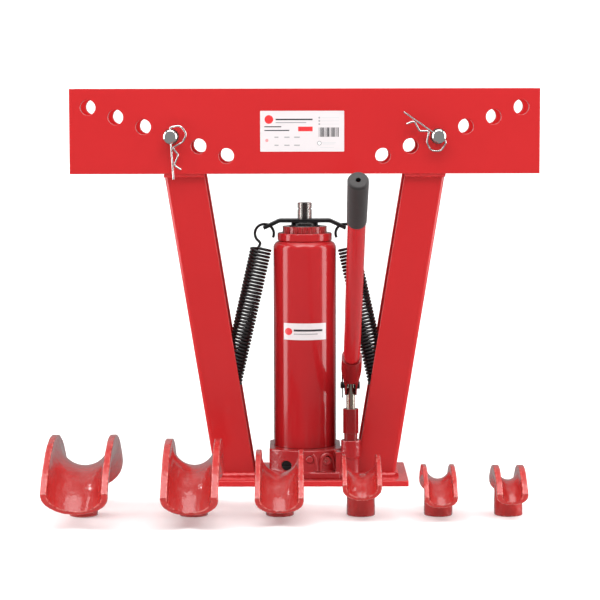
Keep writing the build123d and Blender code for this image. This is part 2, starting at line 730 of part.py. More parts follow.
with BuildPart() as pump_plunger:
    with BuildSketch(Plane.XY.offset(plunger_bottom)):
        with Locations((pump_x, pump_y)):
            Circle(plunger_diameter / 2)
    extrude(amount=pump_pin_z + plunger_crown - plunger_bottom)
    fillet(pump_plunger.edges().sort_by(Axis.Z)[-1], plunger_crown_round)
    with BuildSketch(Plane.YZ.offset(pump_x)):
        with Locations((pump_y, pump_pin_z)):
            Circle(pump_pin_diameter / 2)
    extrude(amount=plunger_diameter, both=True, mode=Mode.SUBTRACT)
write(pump_plunger.part, "pump_plunger")

with BuildPart() as pump_pin:
    with BuildSketch(Plane.YZ.offset(pump_x - pin_tail_reach)):
        with Locations((pump_y, pump_pin_z)):
            Circle(pump_pin_diameter / 2)
    extrude(amount=pin_tail_reach + fork_width / 2 + pin_side_gap)
    with BuildSketch(Plane.YZ.offset(pump_x + fork_width / 2 + pin_side_gap)):
        with Locations((pump_y, pump_pin_z)):
            Circle(pump_pin_head / 2)
    extrude(amount=pump_pin_head_thick)
    chamfer(pump_pin.edges().sort_by(Axis.X)[0], plate_edge)
    with BuildSketch(Plane.XY.offset(pump_pin_z)):
        with Locations((hairpin_x, pump_y)):
            Circle(hairpin_wire / 2 + clip_clearance)
    extrude(amount=pump_pin_diameter, both=True, mode=Mode.SUBTRACT)
write(pump_pin.part, "pump_pin")

with BuildPart() as pump_pin_clip:
    with BuildLine(Plane(origin=(hairpin_x, pump_y, pump_pin_z), x_dir=(0, 1, 0), z_dir=(1, 0, 0))) as wire:
        FilletPolyline(*hairpin_points, radius=hairpin_bend)
    with BuildSketch(Plane(origin=wire.line @ 0, z_dir=wire.line % 0)):
        Circle(hairpin_wire / 2)
    sweep(path=wire.line)
write(pump_pin_clip.part, "pump_pin_clip")

with BuildPart() as fulcrum_post:
    with BuildSketch(Plane.YZ.offset(pump_x)):
        with Locations((fulcrum_y, (post_bottom + fulcrum_z) / 2)):
            Rectangle(fulcrum_post_depth, fulcrum_z - post_bottom)
        with Locations((fulcrum_y, fulcrum_z)):
            Circle(fulcrum_post_depth / 2)
            Circle(fulcrum_pin_diameter / 2, mode=Mode.SUBTRACT)
        with Locations((fulcrum_y, fulcrum_bolt_z)):
            Circle(jack_bolt_diameter / 2 + bolt_clearance, mode=Mode.SUBTRACT)
    extrude(amount=post_width / 2, both=True)
write(fulcrum_post.part, "fulcrum_post")

with BuildPart() as fulcrum_pin:
    with BuildSketch(Plane.YZ.offset(pump_x)):
        with Locations((fulcrum_y, fulcrum_z)):
            Circle(fulcrum_pin_diameter / 2)
    extrude(amount=fork_width / 2 + pin_side_gap, both=True)
write(fulcrum_pin.part, "fulcrum_pin")

with BuildPart() as fulcrum_bolt:
    with BuildSketch(Plane.YZ.offset(post_face_x + post_width)):
        with Locations((fulcrum_y, fulcrum_bolt_z)):
            RegularPolygon(bolt_hex / 2, 6, major_radius=False)
    extrude(amount=bolt_hex_thick)
    with BuildSketch(Plane.YZ.offset(post_face_x + post_width)):
        with Locations((fulcrum_y, fulcrum_bolt_z)):
            Circle(jack_bolt_diameter / 2)
    extrude(amount=-(post_width + fulcrum_bolt_grip))
write(fulcrum_bolt.part, "fulcrum_bolt")

# ---------------------------------------------------------------- handle
tilt = radians(handle_tilt)
along = (0, -sin(tilt), cos(tilt))
handle_plane = Plane(origin=(pump_x, pump_y, pump_pin_z), x_dir=(1, 0, 0), z_dir=along)
fork_plane = Plane(origin=(pump_x, pump_y, pump_pin_z), x_dir=handle_plane.y_dir, z_dir=(1, 0, 0))
fulcrum_local = handle_plane.to_local_coords(Vector(pump_x, fulcrum_y, fulcrum_z))

with BuildPart() as handle_socket:
    with BuildSketch(handle_plane.offset(socket_fork_top)):
        Circle(socket_diameter / 2)
    extrude(amount=socket_mouth - socket_fork_top)
    # The tube is flattened towards the fork.
    with BuildSketch(Plane(origin=handle_plane.origin, x_dir=(1, 0, 0), z_dir=-handle_plane.y_dir)):
        Polygon((-fork_width / 2, socket_fork_top), (fork_width / 2, socket_fork_top),
                (socket_diameter / 2, socket_bottom + 2), (socket_diameter / 2, socket_mouth),
                (-socket_diameter / 2, socket_mouth), (-socket_diameter / 2, socket_bottom + 2), align=None)
    extrude(amount=socket_diameter, both=True, mode=Mode.INTERSECT)
    # The fork plane's first axis points away from the operator, and its second up the handle.
    with BuildSketch(fork_plane):
        with Locations((0, 0)):
            Circle(socket_diameter / 2)
        with Locations((fulcrum_local.Y, fulcrum_local.Z)):
            Circle(fork_heel_radius)
        with Locations((0, (socket_fork_top + fork_root) / 2)):
            Rectangle(socket_diameter, fork_root - socket_fork_top)
        make_hull()
    extrude(amount=fork_width / 2, both=True)
    with BuildSketch(handle_plane.offset(socket_bottom)):
        Circle(handle_diameter / 2 + socket_clearance)
    extrude(amount=socket_mouth, mode=Mode.SUBTRACT)
    with BuildSketch(fork_plane):
        with Locations((0, fork_slot_top - fork_space / 2)):
            Rectangle(2 * fork_space, fork_space)
    extrude(amount=fork_gap / 2, both=True, mode=Mode.SUBTRACT)
    with BuildSketch(fork_plane):
        with Locations((fulcrum_local.Y, fulcrum_local.Z)):
            Circle(fulcrum_pin_diameter / 2 + running_clearance)
        with Locations(Location((0, 0), degrees(atan2(fulcrum_local.Z, fulcrum_local.Y)))):
            SlotCenterToCenter(2 * slot_travel, pump_pin_diameter + 2 * slot_clearance)
    extrude(amount=fork_width, both=True, mode=Mode.SUBTRACT)
write(handle_socket.part, "handle_socket")

with BuildPart() as handle_tube:
    with BuildSketch(handle_plane.offset(socket_bottom + socket_clearance)):
        Circle(handle_diameter / 2)
        Circle(handle_diameter / 2 - handle_wall, mode=Mode.SUBTRACT)
    extrude(amount=handle_end - socket_bottom - socket_clearance)
write(handle_tube.part, "handle_tube")

with BuildPart() as handle_grip:
    with BuildSketch(handle_plane.offset(grip_start)):
        Circle(grip_small_diameter / 2)
    with BuildSketch(handle_plane.offset(grip_end)):
        Circle(grip_diameter / 2)
    loft()
    fillet(handle_grip.edges().filter_by(GeomType.CIRCLE), grip_round)
    with BuildSketch(handle_plane.offset(handle_end)):
        Circle(handle_diameter / 2)
    extrude(amount=-(grip_end - grip_start), mode=Mode.SUBTRACT)
    with BuildSketch(handle_plane.offset(handle_end)):
        Circle(grip_vent / 2)
    extrude(amount=2 * (grip_end - handle_end), mode=Mode.SUBTRACT)
write(handle_grip.part, "handle_grip")

# ---------------------------------------------------------------- bending dies
for name, (pipe, bend, width, rim, crest, half_angle, place) in dies.items():
    arc_centre = (place, die_row_y, crest - bend)
    radial = Plane(origin=arc_centre, x_dir=(1, 0, 0), z_dir=(0, -1, 0))
    outer_round = min(die_round * width, rim + die_shell - 2 * die_edge)
    with BuildPart() as die:
        with BuildSketch(radial.rotated((-half_angle, 0, 0))) as section:
            with Locations((0, bend + (rim - die_shell) / 2)):
                Rectangle(width, rim + die_shell)
            fillet(section.vertices().group_by(Axis.Y)[0], outer_round)
            with Locations((0, bend + pipe / 2)):
                Circle(pipe / 2, mode=Mode.SUBTRACT)
            with Locations((0, bend + pipe / 2 + rim)):
                Rectangle(pipe, 2 * rim, mode=Mode.SUBTRACT)
            fillet(section.vertices().group_by(Axis.Y)[-1], die_edge)
        revolve(axis=Axis(arc_centre, (1, 0, 0)), revolution_arc=2 * half_angle)
        with BuildSketch(Plane.XY):
            with Locations((place, die_row_y)):
                Circle(die_hub_diameter / 2)
        extrude(amount=crest - die_shell / 2)
        with Locations(Location((place, die_row_y, 0), (180, 0, 0))):
            Hole(die_socket_diameter / 2, depth=die_socket_depth)
    write(die.part, name)
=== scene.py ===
"""Looks of an upright hydraulic pipe bender and its six loose dies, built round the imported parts.

Metres throughout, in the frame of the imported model: +Z up, the floor at 0, the ram on the Z axis
and the operator's side at negative Y.
"""

import math

import bmesh
import bpy
from bpy.props import FloatProperty, FloatVectorProperty, IntProperty, PointerProperty
from mathutils import Matrix, Vector


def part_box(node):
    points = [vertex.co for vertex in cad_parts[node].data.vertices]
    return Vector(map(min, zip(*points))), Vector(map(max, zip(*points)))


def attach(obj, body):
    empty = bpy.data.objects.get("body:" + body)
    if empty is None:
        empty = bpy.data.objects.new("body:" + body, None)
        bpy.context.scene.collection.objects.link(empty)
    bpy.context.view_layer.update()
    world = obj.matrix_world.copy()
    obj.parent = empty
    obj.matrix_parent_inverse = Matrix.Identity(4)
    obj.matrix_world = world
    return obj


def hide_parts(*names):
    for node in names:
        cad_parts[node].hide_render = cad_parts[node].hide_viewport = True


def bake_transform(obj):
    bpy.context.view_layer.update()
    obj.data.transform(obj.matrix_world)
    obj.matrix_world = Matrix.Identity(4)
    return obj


bl_info = {
    "name": "Pipe bender looks",
    "version": (1, 0, 0),
    "blender": (4, 5, 0),
    "location": "View3D > Sidebar > Pipe bender",
    "description": "Finishes, springs, welds, castings and studio for an upright hydraulic pipe bender",
    "category": "Object",
}

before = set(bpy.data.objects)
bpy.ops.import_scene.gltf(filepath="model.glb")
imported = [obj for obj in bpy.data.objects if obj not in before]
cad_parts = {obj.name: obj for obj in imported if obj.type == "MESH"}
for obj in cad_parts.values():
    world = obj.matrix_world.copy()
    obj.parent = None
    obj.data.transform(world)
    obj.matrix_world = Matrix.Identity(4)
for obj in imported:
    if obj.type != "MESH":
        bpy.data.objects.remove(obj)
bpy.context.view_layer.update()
MM = 0.001
SIDES = {"left": -1, "right": 1}
DIES = sorted(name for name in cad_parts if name.startswith("die_"))
LEG_LEAN = math.radians(9.19)   # between a leg and upright
FOOT_RADIUS = 57 * MM           # of the round front of the jack's casting
CORNER_CUTS = 3                 # times that a rib's corners are cut to smooth it
PAINT_DUST = 0.12
STAIN_SHARE = 0.25
RUBBER_DEPTH = 0.00006


# ---------------------------------------------------------------- sizes and colours to change
class BenderPaint(bpy.types.PropertyGroup):
    frame_red: FloatVectorProperty(
        name="Frame red", description="Gloss enamel of the plates, legs and base",
        subtype="COLOR", size=3, min=0.0, max=1.0, default=(0.49, 0.015, 0.017))
    jack_red: FloatVectorProperty(
        name="Jack red", description="Thicker enamel of the jack and the handle",
        subtype="COLOR", size=3, min=0.0, max=1.0, default=(0.4, 0.012, 0.015))
    die_red: FloatVectorProperty(
        name="Die red", description="Dipped enamel of the cast dies",
        subtype="COLOR", size=3, min=0.0, max=1.0, default=(0.44, 0.014, 0.012))
    # Paint pulled back at an edge, and a painted highlight along edges
    edge_wear_and_highlight_red: FloatVectorProperty(
        name="Edge wear and highlight", description="Paint where it runs thin over an edge",
        subtype="COLOR", size=3, min=0.0, max=1.0, default=(0.86, 0.34, 0.29))
    peel_size: FloatProperty(
        name="Orange peel", description="Width of one dimple in sprayed paint",
        subtype="DISTANCE", unit="LENGTH", min=0.0002, max=0.01, default=0.0022)


class BenderMetal(bpy.types.PropertyGroup):
    zinc: FloatVectorProperty(
        name="Zinc", description="Bright plating of the pins and clips",
        subtype="COLOR", size=3, min=0.0, max=1.0, default=(0.74, 0.74, 0.73))
    steel: FloatVectorProperty(
        name="Turned steel", description="Bare turned steel of the ram's tip, rollers and plunger",
        subtype="COLOR", size=3, min=0.0, max=1.0, default=(0.56, 0.54, 0.51))
    black: FloatVectorProperty(
        name="Black oxide", description="Blackened steel of the ram, bracket and pump pins",
        subtype="COLOR", size=3, min=0.0, max=1.0, default=(0.018, 0.017, 0.018))
    rubber: FloatVectorProperty(
        name="Grip rubber", description="Sleeve on the end of the handle",
        subtype="COLOR", size=3, min=0.0, max=1.0, default=(0.026, 0.022, 0.022))
    edge_size: FloatProperty(
        name="Edge softness", description="How far light rolls over a sheared or turned edge",
        subtype="DISTANCE", unit="LENGTH", min=0.0, max=0.002, default=0.00045)


class BenderSprings(bpy.types.PropertyGroup):
    coil_diameter: FloatProperty(
        name="Coil diameter", description="Across the outside of the coil",
        subtype="DISTANCE", unit="LENGTH", min=0.01, max=0.06, default=0.028)
    wire_diameter: FloatProperty(
        name="Wire diameter", description="Thickness of the spring wire",
        subtype="DISTANCE", unit="LENGTH", min=0.001, max=0.006, default=0.0036)
    coil_length: FloatProperty(
        name="Coil length", description="Length of the coil with the ram down",
        subtype="DISTANCE", unit="LENGTH", min=0.05, max=0.4, default=0.182)
    loop_radius: FloatProperty(
        name="Loop radius", description="Radius of each end loop at the middle of the wire",
        subtype="DISTANCE", unit="LENGTH", min=0.005, max=0.03, default=0.012)
    loop_offset: FloatProperty(
        name="Loop offset", description="From the end of the coil to the middle of its loop",
        subtype="DISTANCE", unit="LENGTH", min=0.01, max=0.04, default=0.017)
    lean: FloatProperty(
        name="Lean", description="Angle between a spring and upright",
        subtype="ANGLE", unit="ROTATION", min=0.0, max=0.6, default=math.radians(12.7))
    turns: IntProperty(name="Turns", description="Turns in the coil", min=8, max=90, default=41)


class BenderCasting(bpy.types.PropertyGroup):
    grain_height: FloatProperty(
        name="Grain height", description="How far the cast skin stands up and down",
        subtype="DISTANCE", unit="LENGTH", min=0.0, max=0.001, default=0.00024)
    die_cell: FloatProperty(
        name="Die mesh size", description="Size of a face on a cast die",
        subtype="DISTANCE", unit="LENGTH", min=0.0005, max=0.004, default=0.0009)
    foot_cell: FloatProperty(
        name="Foot mesh size", description="Size of a face on the jack's cast foot",
        subtype="DISTANCE", unit="LENGTH", min=0.0005, max=0.004, default=0.0009)
    bead_width: FloatProperty(
        name="Weld width", description="Width of a weld bead",
        subtype="DISTANCE", unit="LENGTH", min=0.002, max=0.015, default=0.0075)
    rib_width: FloatProperty(
        name="Rib width", description="Width of the raised ribs on the jack's casting",
        subtype="DISTANCE", unit="LENGTH", min=0.001, max=0.006, default=0.0044)


class BenderStudio(bpy.types.PropertyGroup):
    lens: FloatProperty(
        name="Lens", description="Focal length on a 36 mm sensor",
        subtype="DISTANCE_CAMERA", min=20.0, max=300.0, default=133.08)
    camera_height: FloatProperty(
        name="Camera height", description="Height of the lens over the floor",
        subtype="DISTANCE", unit="LENGTH", min=0.0, max=3.0, default=0.5033)
    camera_distance: FloatProperty(
        name="Camera distance", description="From the ram's axis to the lens",
        subtype="DISTANCE", unit="LENGTH", min=0.5, max=10.0, default=2.809)
    tilt: FloatProperty(
        name="Camera tilt", description="How far the lens looks down",
        subtype="ANGLE", unit="ROTATION", min=-0.5, max=0.8, default=math.radians(5.6))
    floor_tone: FloatVectorProperty(
        name="Floor", description="Colour of the paper sweep",
        subtype="COLOR", size=3, min=0.0, max=1.0, default=(0.9, 0.9, 0.9))


SETTINGS = {"bender_paint": BenderPaint, "bender_metal": BenderMetal, "bender_springs": BenderSprings,
            "bender_casting": BenderCasting, "bender_studio": BenderStudio}


# ---------------------------------------------------------------- node helpers
def fill(tree, node, values):
    """Link or set a node's inputs."""
    for key, value in values.items():
        if isinstance(value, bpy.types.NodeSocket):
            tree.links.new(value, node.inputs[key])
        else:
            node.inputs[key].default_value = value


def add(tree, kind, values=None, **settings):
    """One node, with its properties set and its inputs linked or given values."""
    node = tree.nodes.new(kind)
    for name, value in settings.items():
        setattr(node, name, value)
    fill(tree, node, values or {})
    return node


def maths(tree, operation, first, second=0.0, clamp=False):
    """One Math node's result."""
    return add(tree, "ShaderNodeMath", {0: first, 1: second}, operation=operation, use_clamp=clamp).outputs[0]


def tint(tree, share, base, other):
    """Two colours mixed by a share."""
    node = add(tree, "ShaderNodeMix", {0: share, 6: base, 7: other}, data_type="RGBA")
    return node.outputs[2]


def shader_group(name, inputs, outputs):
    """An empty shader group with named sockets: (tree, input node's sockets, output node)."""
    tree = bpy.data.node_groups.new(name, "ShaderNodeTree")
    for label, kind, value in inputs:
        socket = tree.interface.new_socket(label, in_out="INPUT", socket_type=kind)
        if value is not None:
            socket.default_value = value
    for label, kind in outputs:
        tree.interface.new_socket(label, in_out="OUTPUT", socket_type=kind)
    return tree, tree.nodes.new("NodeGroupInput").outputs, tree.nodes.new("NodeGroupOutput")


def rgba(colour):
    """A property colour as the four numbers that a colour socket takes."""
    return (*colour, 1.0)


# ---------------------------------------------------------------- effects that finishes share
def peel_group():
    """Sprayed or dipped paint: fine dimples on slow waves, and a slow drift of tone."""
    tree, given, out = shader_group(
        "Paint skin",
        [("Vector", "NodeSocketVector", None), ("Dimple", "NodeSocketFloat", 0.002),
         ("Colour", "NodeSocketColor", None), ("Drift", "NodeSocketFloat", 0.1)],
        [("Height", "NodeSocketFloat"), ("Colour", "NodeSocketColor"), ("Roughness", "NodeSocketFloat")])
    scale = maths(tree, "DIVIDE", 1.0, given["Dimple"])
    dimple = add(tree, "ShaderNodeTexNoise", {"Vector": given["Vector"], "Scale": scale, "Detail": 2.0})
    wave = add(tree, "ShaderNodeTexNoise", {
        "Vector": given["Vector"], "Scale": maths(tree, "MULTIPLY", scale, 0.12), "Detail": 1.0})
    cloud = add(tree, "ShaderNodeTexNoise", {"Vector": given["Vector"], "Scale": 9.0, "Detail": 3.0})
    shift = maths(tree, "MULTIPLY", maths(tree, "SUBTRACT", cloud.outputs[0], 0.5), given["Drift"])
    toned = add(tree, "ShaderNodeHueSaturation", {
        "Color": given["Colour"], "Value": maths(tree, "ADD", shift, 1.0)})
    height = maths(tree, "ADD", dimple.outputs[0], maths(tree, "MULTIPLY", wave.outputs[0], 2.5))
    tree.links.new(height, out.inputs["Height"])
    tree.links.new(toned.outputs[0], out.inputs["Colour"])
    tree.links.new(maths(tree, "ADD", maths(tree, "MULTIPLY", cloud.outputs[0], 0.14), 0.09),
                   out.inputs["Roughness"])
    return tree


def edge_group():
    """Rolled edges: a normal that turns smoothly over them, and a broken mask along them."""
    tree, given, out = shader_group(
        "Rolled edge",
        [("Vector", "NodeSocketVector", None), ("Radius", "NodeSocketFloat", 0.0005),
         ("Breakup", "NodeSocketFloat", 180.0)],
        [("Mask", "NodeSocketFloat"), ("Normal", "NodeSocketVector")])
    rolled = add(tree, "ShaderNodeBevel", {"Radius": given["Radius"]}, samples=4)
    face = tree.nodes.new("ShaderNodeNewGeometry")
    along = add(tree, "ShaderNodeVectorMath", {0: rolled.outputs[0], 1: face.outputs["Normal"]},
                operation="DOT_PRODUCT")
    turned = maths(tree, "MULTIPLY", maths(tree, "SUBTRACT", 1.0, along.outputs["Value"]), 7.0, clamp=True)
    patchy = add(tree, "ShaderNodeTexNoise", {
        "Vector": given["Vector"], "Scale": given["Breakup"], "Detail": 3.0})
    broken = maths(tree, "MULTIPLY", maths(tree, "SUBTRACT", patchy.outputs[0], 0.42), 6.0, clamp=True)
    tree.links.new(maths(tree, "MULTIPLY", turned, broken), out.inputs["Mask"])
    tree.links.new(rolled.outputs[0], out.inputs["Normal"])
    return tree


def dust_group():
    """Pale dust that settles on faces that look up."""
    tree, given, out = shader_group(
        "Settled dust",
        [("Vector", "NodeSocketVector", None), ("Amount", "NodeSocketFloat", 0.2)],
        [("Mask", "NodeSocketFloat")])
    face = tree.nodes.new("ShaderNodeNewGeometry")
    up = add(tree, "ShaderNodeSeparateXYZ", {0: face.outputs["Normal"]}).outputs["Z"]
    flat = maths(tree, "MULTIPLY", maths(tree, "SUBTRACT", up, 0.55), 2.2, clamp=True)
    speck = add(tree, "ShaderNodeTexNoise", {"Vector": given["Vector"], "Scale": 60.0, "Detail": 6.0})
    spread = maths(tree, "MULTIPLY", maths(tree, "SUBTRACT", speck.outputs[0], 0.35), 2.0, clamp=True)
    tree.links.new(maths(tree, "MULTIPLY", maths(tree, "MULTIPLY", flat, spread), given["Amount"]),
                   out.inputs["Mask"])
    return tree


def grain_group():
    """Fine lines round or along turned and drawn metal, with a few stains."""
    tree, given, out = shader_group(
        "Tool marks",
        [("Vector", "NodeSocketVector", None), ("Stretch", "NodeSocketVector", (1.0, 1.0, 40.0)),
         ("Scale", "NodeSocketFloat", 120.0)],
        [("Height", "NodeSocketFloat"), ("Stain", "NodeSocketFloat")])
    drawn = add(tree, "ShaderNodeVectorMath", {0: given["Vector"], 1: given["Stretch"]},
                operation="MULTIPLY").outputs[0]
    lines = add(tree, "ShaderNodeTexNoise", {"Vector": drawn, "Scale": given["Scale"], "Detail": 4.0})
    stain = add(tree, "ShaderNodeTexNoise", {"Vector": given["Vector"], "Scale": 70.0, "Detail": 5.0})
    tree.links.new(lines.outputs[0], out.inputs["Height"])
    tree.links.new(maths(tree, "MULTIPLY", maths(tree, "SUBTRACT", stain.outputs[0], 0.5), 3.0, clamp=True),
                   out.inputs["Stain"])
    return tree


def cast_group():
    """Sand-cast skin under paint: coarse grains, pits and lumps, and a mask of the pits for painted shade."""
    tree, given, out = shader_group(
        "Cast skin",
        [("Vector", "NodeSocketVector", None), ("Grain", "NodeSocketFloat", 420.0)],
        [("Height", "NodeSocketFloat"), ("Pit Shade", "NodeSocketFloat")])
    sand = add(tree, "ShaderNodeTexNoise", {
        "Vector": given["Vector"], "Scale": given["Grain"], "Detail": 5.0, "Roughness": 0.6})
    lump = add(tree, "ShaderNodeTexVoronoi", {
        "Vector": given["Vector"], "Scale": maths(tree, "MULTIPLY", given["Grain"], 0.45)},
        feature="SMOOTH_F1")
    tree.links.new(maths(tree, "ADD", sand.outputs[0], maths(tree, "MULTIPLY", lump.outputs[0], 0.5)),
                   out.inputs["Height"])
    tree.links.new(maths(tree, "MULTIPLY", maths(tree, "SUBTRACT", 0.36, sand.outputs[0]), 9.0, clamp=True),
                   out.inputs["Pit Shade"])
    return tree


EFFECTS = {"Paint skin": peel_group, "Rolled edge": edge_group, "Settled dust": dust_group,
           "Tool marks": grain_group, "Cast skin": cast_group}


def effect(tree, name, values):
    """A shared effect placed in a material, built the first time it is asked for."""
    if name not in bpy.data.node_groups:
        EFFECTS[name]()
    node = add(tree, "ShaderNodeGroup", node_tree=bpy.data.node_groups[name])
    fill(tree, node, values)
    return node


# ---------------------------------------------------------------- finishes
def blank(name, **constants):
    """A material with one Principled shader: (material, tree, shader, object coordinates)."""
    material = bpy.data.materials.new(name)
    material.use_nodes = True
    tree = material.node_tree
    shader = tree.nodes["Principled BSDF"]
    for key, value in constants.items():
        shader.inputs[key.replace("_", " ")].default_value = value
    return material, tree, shader, tree.nodes.new("ShaderNodeTexCoord").outputs["Object"]


def relief(tree, shader, height, depth, normal=None):
    """Surface relief of a given depth in metres."""
    values = {"Height": height, "Distance": depth}
    if normal is not None:
        values["Normal"] = normal
    bump = add(tree, "ShaderNodeBump", values)
    tree.links.new(bump.outputs[0], shader.inputs["Normal"])


def enamel(name, colour, peel_depth=0.00002, drift=0.1, cast=0.0, edge_wear_and_highlight_share=0.35, edge=None,
           gloss=0.3):
    """Red gloss enamel over sheet, tube or castings."""
    paint, metal = bpy.context.scene.bender_paint, bpy.context.scene.bender_metal
    material, tree, shader, place = blank(
        name, Coat_Roughness=0.05, Coat_IOR=1.45, Specular_IOR_Level=0.4, Coat_Weight=gloss)
    skin = effect(tree, "Paint skin", {
        "Vector": place, "Dimple": paint.peel_size, "Colour": rgba(colour), "Drift": drift})
    edge_radius = metal.edge_size if edge is None else edge
    rolled = effect(tree, "Rolled edge", {"Vector": place, "Radius": edge_radius})
    settled = effect(tree, "Settled dust", {"Vector": place, "Amount": PAINT_DUST})
    # Edges lifted towards the pale edge red: partly paint pulled back from the edge, partly a painted
    # highlight
    coat = tint(tree, maths(tree, "MULTIPLY", rolled.outputs["Mask"], edge_wear_and_highlight_share),
                skin.outputs["Colour"], rgba(paint.edge_wear_and_highlight_red))
    coat = tint(tree, settled.outputs["Mask"], coat, (0.75, 0.62, 0.6, 1.0))
    height, rough = skin.outputs["Height"], skin.outputs["Roughness"]
    if cast:
        sand = effect(tree, "Cast skin", {"Vector": place})
        height = maths(tree, "ADD", height, maths(tree, "MULTIPLY", sand.outputs["Height"], cast))
        # Darker red in the sand pits: painted shade in the hollows
        coat = tint(tree, maths(tree, "MULTIPLY", sand.outputs["Pit Shade"], 0.35), coat, (0.12, 0.004, 0.005, 1.0))
    rough = maths(tree, "ADD", rough, maths(tree, "MULTIPLY", settled.outputs["Mask"], 0.5))
    tree.links.new(coat, shader.inputs["Base Color"])
    tree.links.new(rough, shader.inputs["Roughness"])
    relief(tree, shader, height, peel_depth, normal=rolled.outputs["Normal"])
    return material


def turned(name, colour, roughness=0.24, stretch=(1.0, 1.0, 40.0), scale=120.0, depth=0.00001,
           stain=(0.2, 0.17, 0.14), metallic=1.0, edge=None):
    """Bare, plated or blackened metal with its tool marks."""
    metal = bpy.context.scene.bender_metal
    material, tree, shader, place = blank(name, Metallic=metallic)
    marks = effect(tree, "Tool marks", {"Vector": place, "Stretch": stretch, "Scale": scale})
    edge_radius = metal.edge_size if edge is None else edge
    rolled = effect(tree, "Rolled edge", {"Vector": place, "Radius": edge_radius})
    tone = tint(tree, maths(tree, "MULTIPLY", marks.outputs["Stain"], STAIN_SHARE), rgba(colour), rgba(stain))
    lit = tuple(min(1.0, channel * 1.35 + 0.02) for channel in colour)
    tone = tint(tree, maths(tree, "MULTIPLY", rolled.outputs["Mask"], 0.7), tone, rgba(lit))
    tree.links.new(tone, shader.inputs["Base Color"])
    rough = maths(tree, "ADD", maths(tree, "MULTIPLY", marks.outputs["Stain"], 0.14), roughness)
    tree.links.new(rough, shader.inputs["Roughness"])
    relief(tree, shader, marks.outputs["Height"], depth, normal=rolled.outputs["Normal"])
    return material


def ram_steel(name, body, tip, shoulder):
    """Blackened ram whose tip, above a height in metres, is bright turned steel."""
    material, tree, shader, place = blank(name)
    marks = effect(tree, "Tool marks", {"Vector": place, "Stretch": (1.0, 1.0, 30.0), "Scale": 110.0})
    rolled = effect(tree, "Rolled edge", {"Vector": place, "Radius": 0.0005})
    across = add(tree, "ShaderNodeSeparateXYZ", {0: place})
    bright = maths(tree, "GREATER_THAN", across.outputs["Z"], shoulder)
    tone = tint(tree, bright, rgba(body), rgba(tip))
    # A dark band down the front of the tip: painted shade standing in for a slot
    slot_shade = maths(tree, "MULTIPLY",
                 maths(tree, "LESS_THAN", maths(tree, "ABSOLUTE", across.outputs["X"]), 0.0029),
                 maths(tree, "LESS_THAN", across.outputs["Y"], 0.0))
    tone = tint(tree, maths(tree, "MULTIPLY", slot_shade, bright), tone, (0.07, 0.06, 0.06, 1.0))
    tone = tint(tree, maths(tree, "MULTIPLY", marks.outputs["Stain"], 0.3), tone, (0.16, 0.13, 0.1, 1.0))
    # Edges lifted to pale steel: a painted highlight
    tone = tint(tree, maths(tree, "MULTIPLY", rolled.outputs["Mask"], 0.5), tone, (0.6, 0.58, 0.55, 1.0))
    tree.links.new(tone, shader.inputs["Base Color"])
    tree.links.new(maths(tree, "ADD", maths(tree, "MULTIPLY", bright, 0.2), 0.55), shader.inputs["Metallic"])
    tree.links.new(maths(tree, "ADD", maths(tree, "MULTIPLY", marks.outputs["Stain"], 0.15), 0.24),
                   shader.inputs["Roughness"])
    relief(tree, shader, marks.outputs["Height"], 0.00001, normal=rolled.outputs["Normal"])
    return material


def rubber(name, colour, roughness=0.62):
    """Moulded rubber with a fine matt skin and a little bloom."""
    material, tree, shader, place = blank(name, Specular_IOR_Level=0.45, Sheen_Weight=0.12,
                                          Sheen_Roughness=0.4)
    skin = effect(tree, "Paint skin", {
        "Vector": place, "Dimple": 0.0008, "Colour": rgba(colour), "Drift": 0.25})
    rolled = effect(tree, "Rolled edge", {"Vector": place, "Radius": 0.0006, "Breakup": 90.0})
    settled = effect(tree, "Settled dust", {"Vector": place, "Amount": 0.1})
    # Edges lifted to pale grey: a painted highlight
    tone = tint(tree, maths(tree, "MULTIPLY", rolled.outputs["Mask"], 0.3),
                skin.outputs["Colour"], (0.2, 0.19, 0.185, 1.0))
    tone = tint(tree, settled.outputs["Mask"], tone, (0.4, 0.38, 0.36, 1.0))
    tree.links.new(tone, shader.inputs["Base Color"])
    matt = maths(tree, "ADD", skin.outputs["Roughness"], roughness - 0.25)
    tree.links.new(matt, shader.inputs["Roughness"])
    relief(tree, shader, skin.outputs["Height"], RUBBER_DEPTH, normal=rolled.outputs["Normal"])
    return material


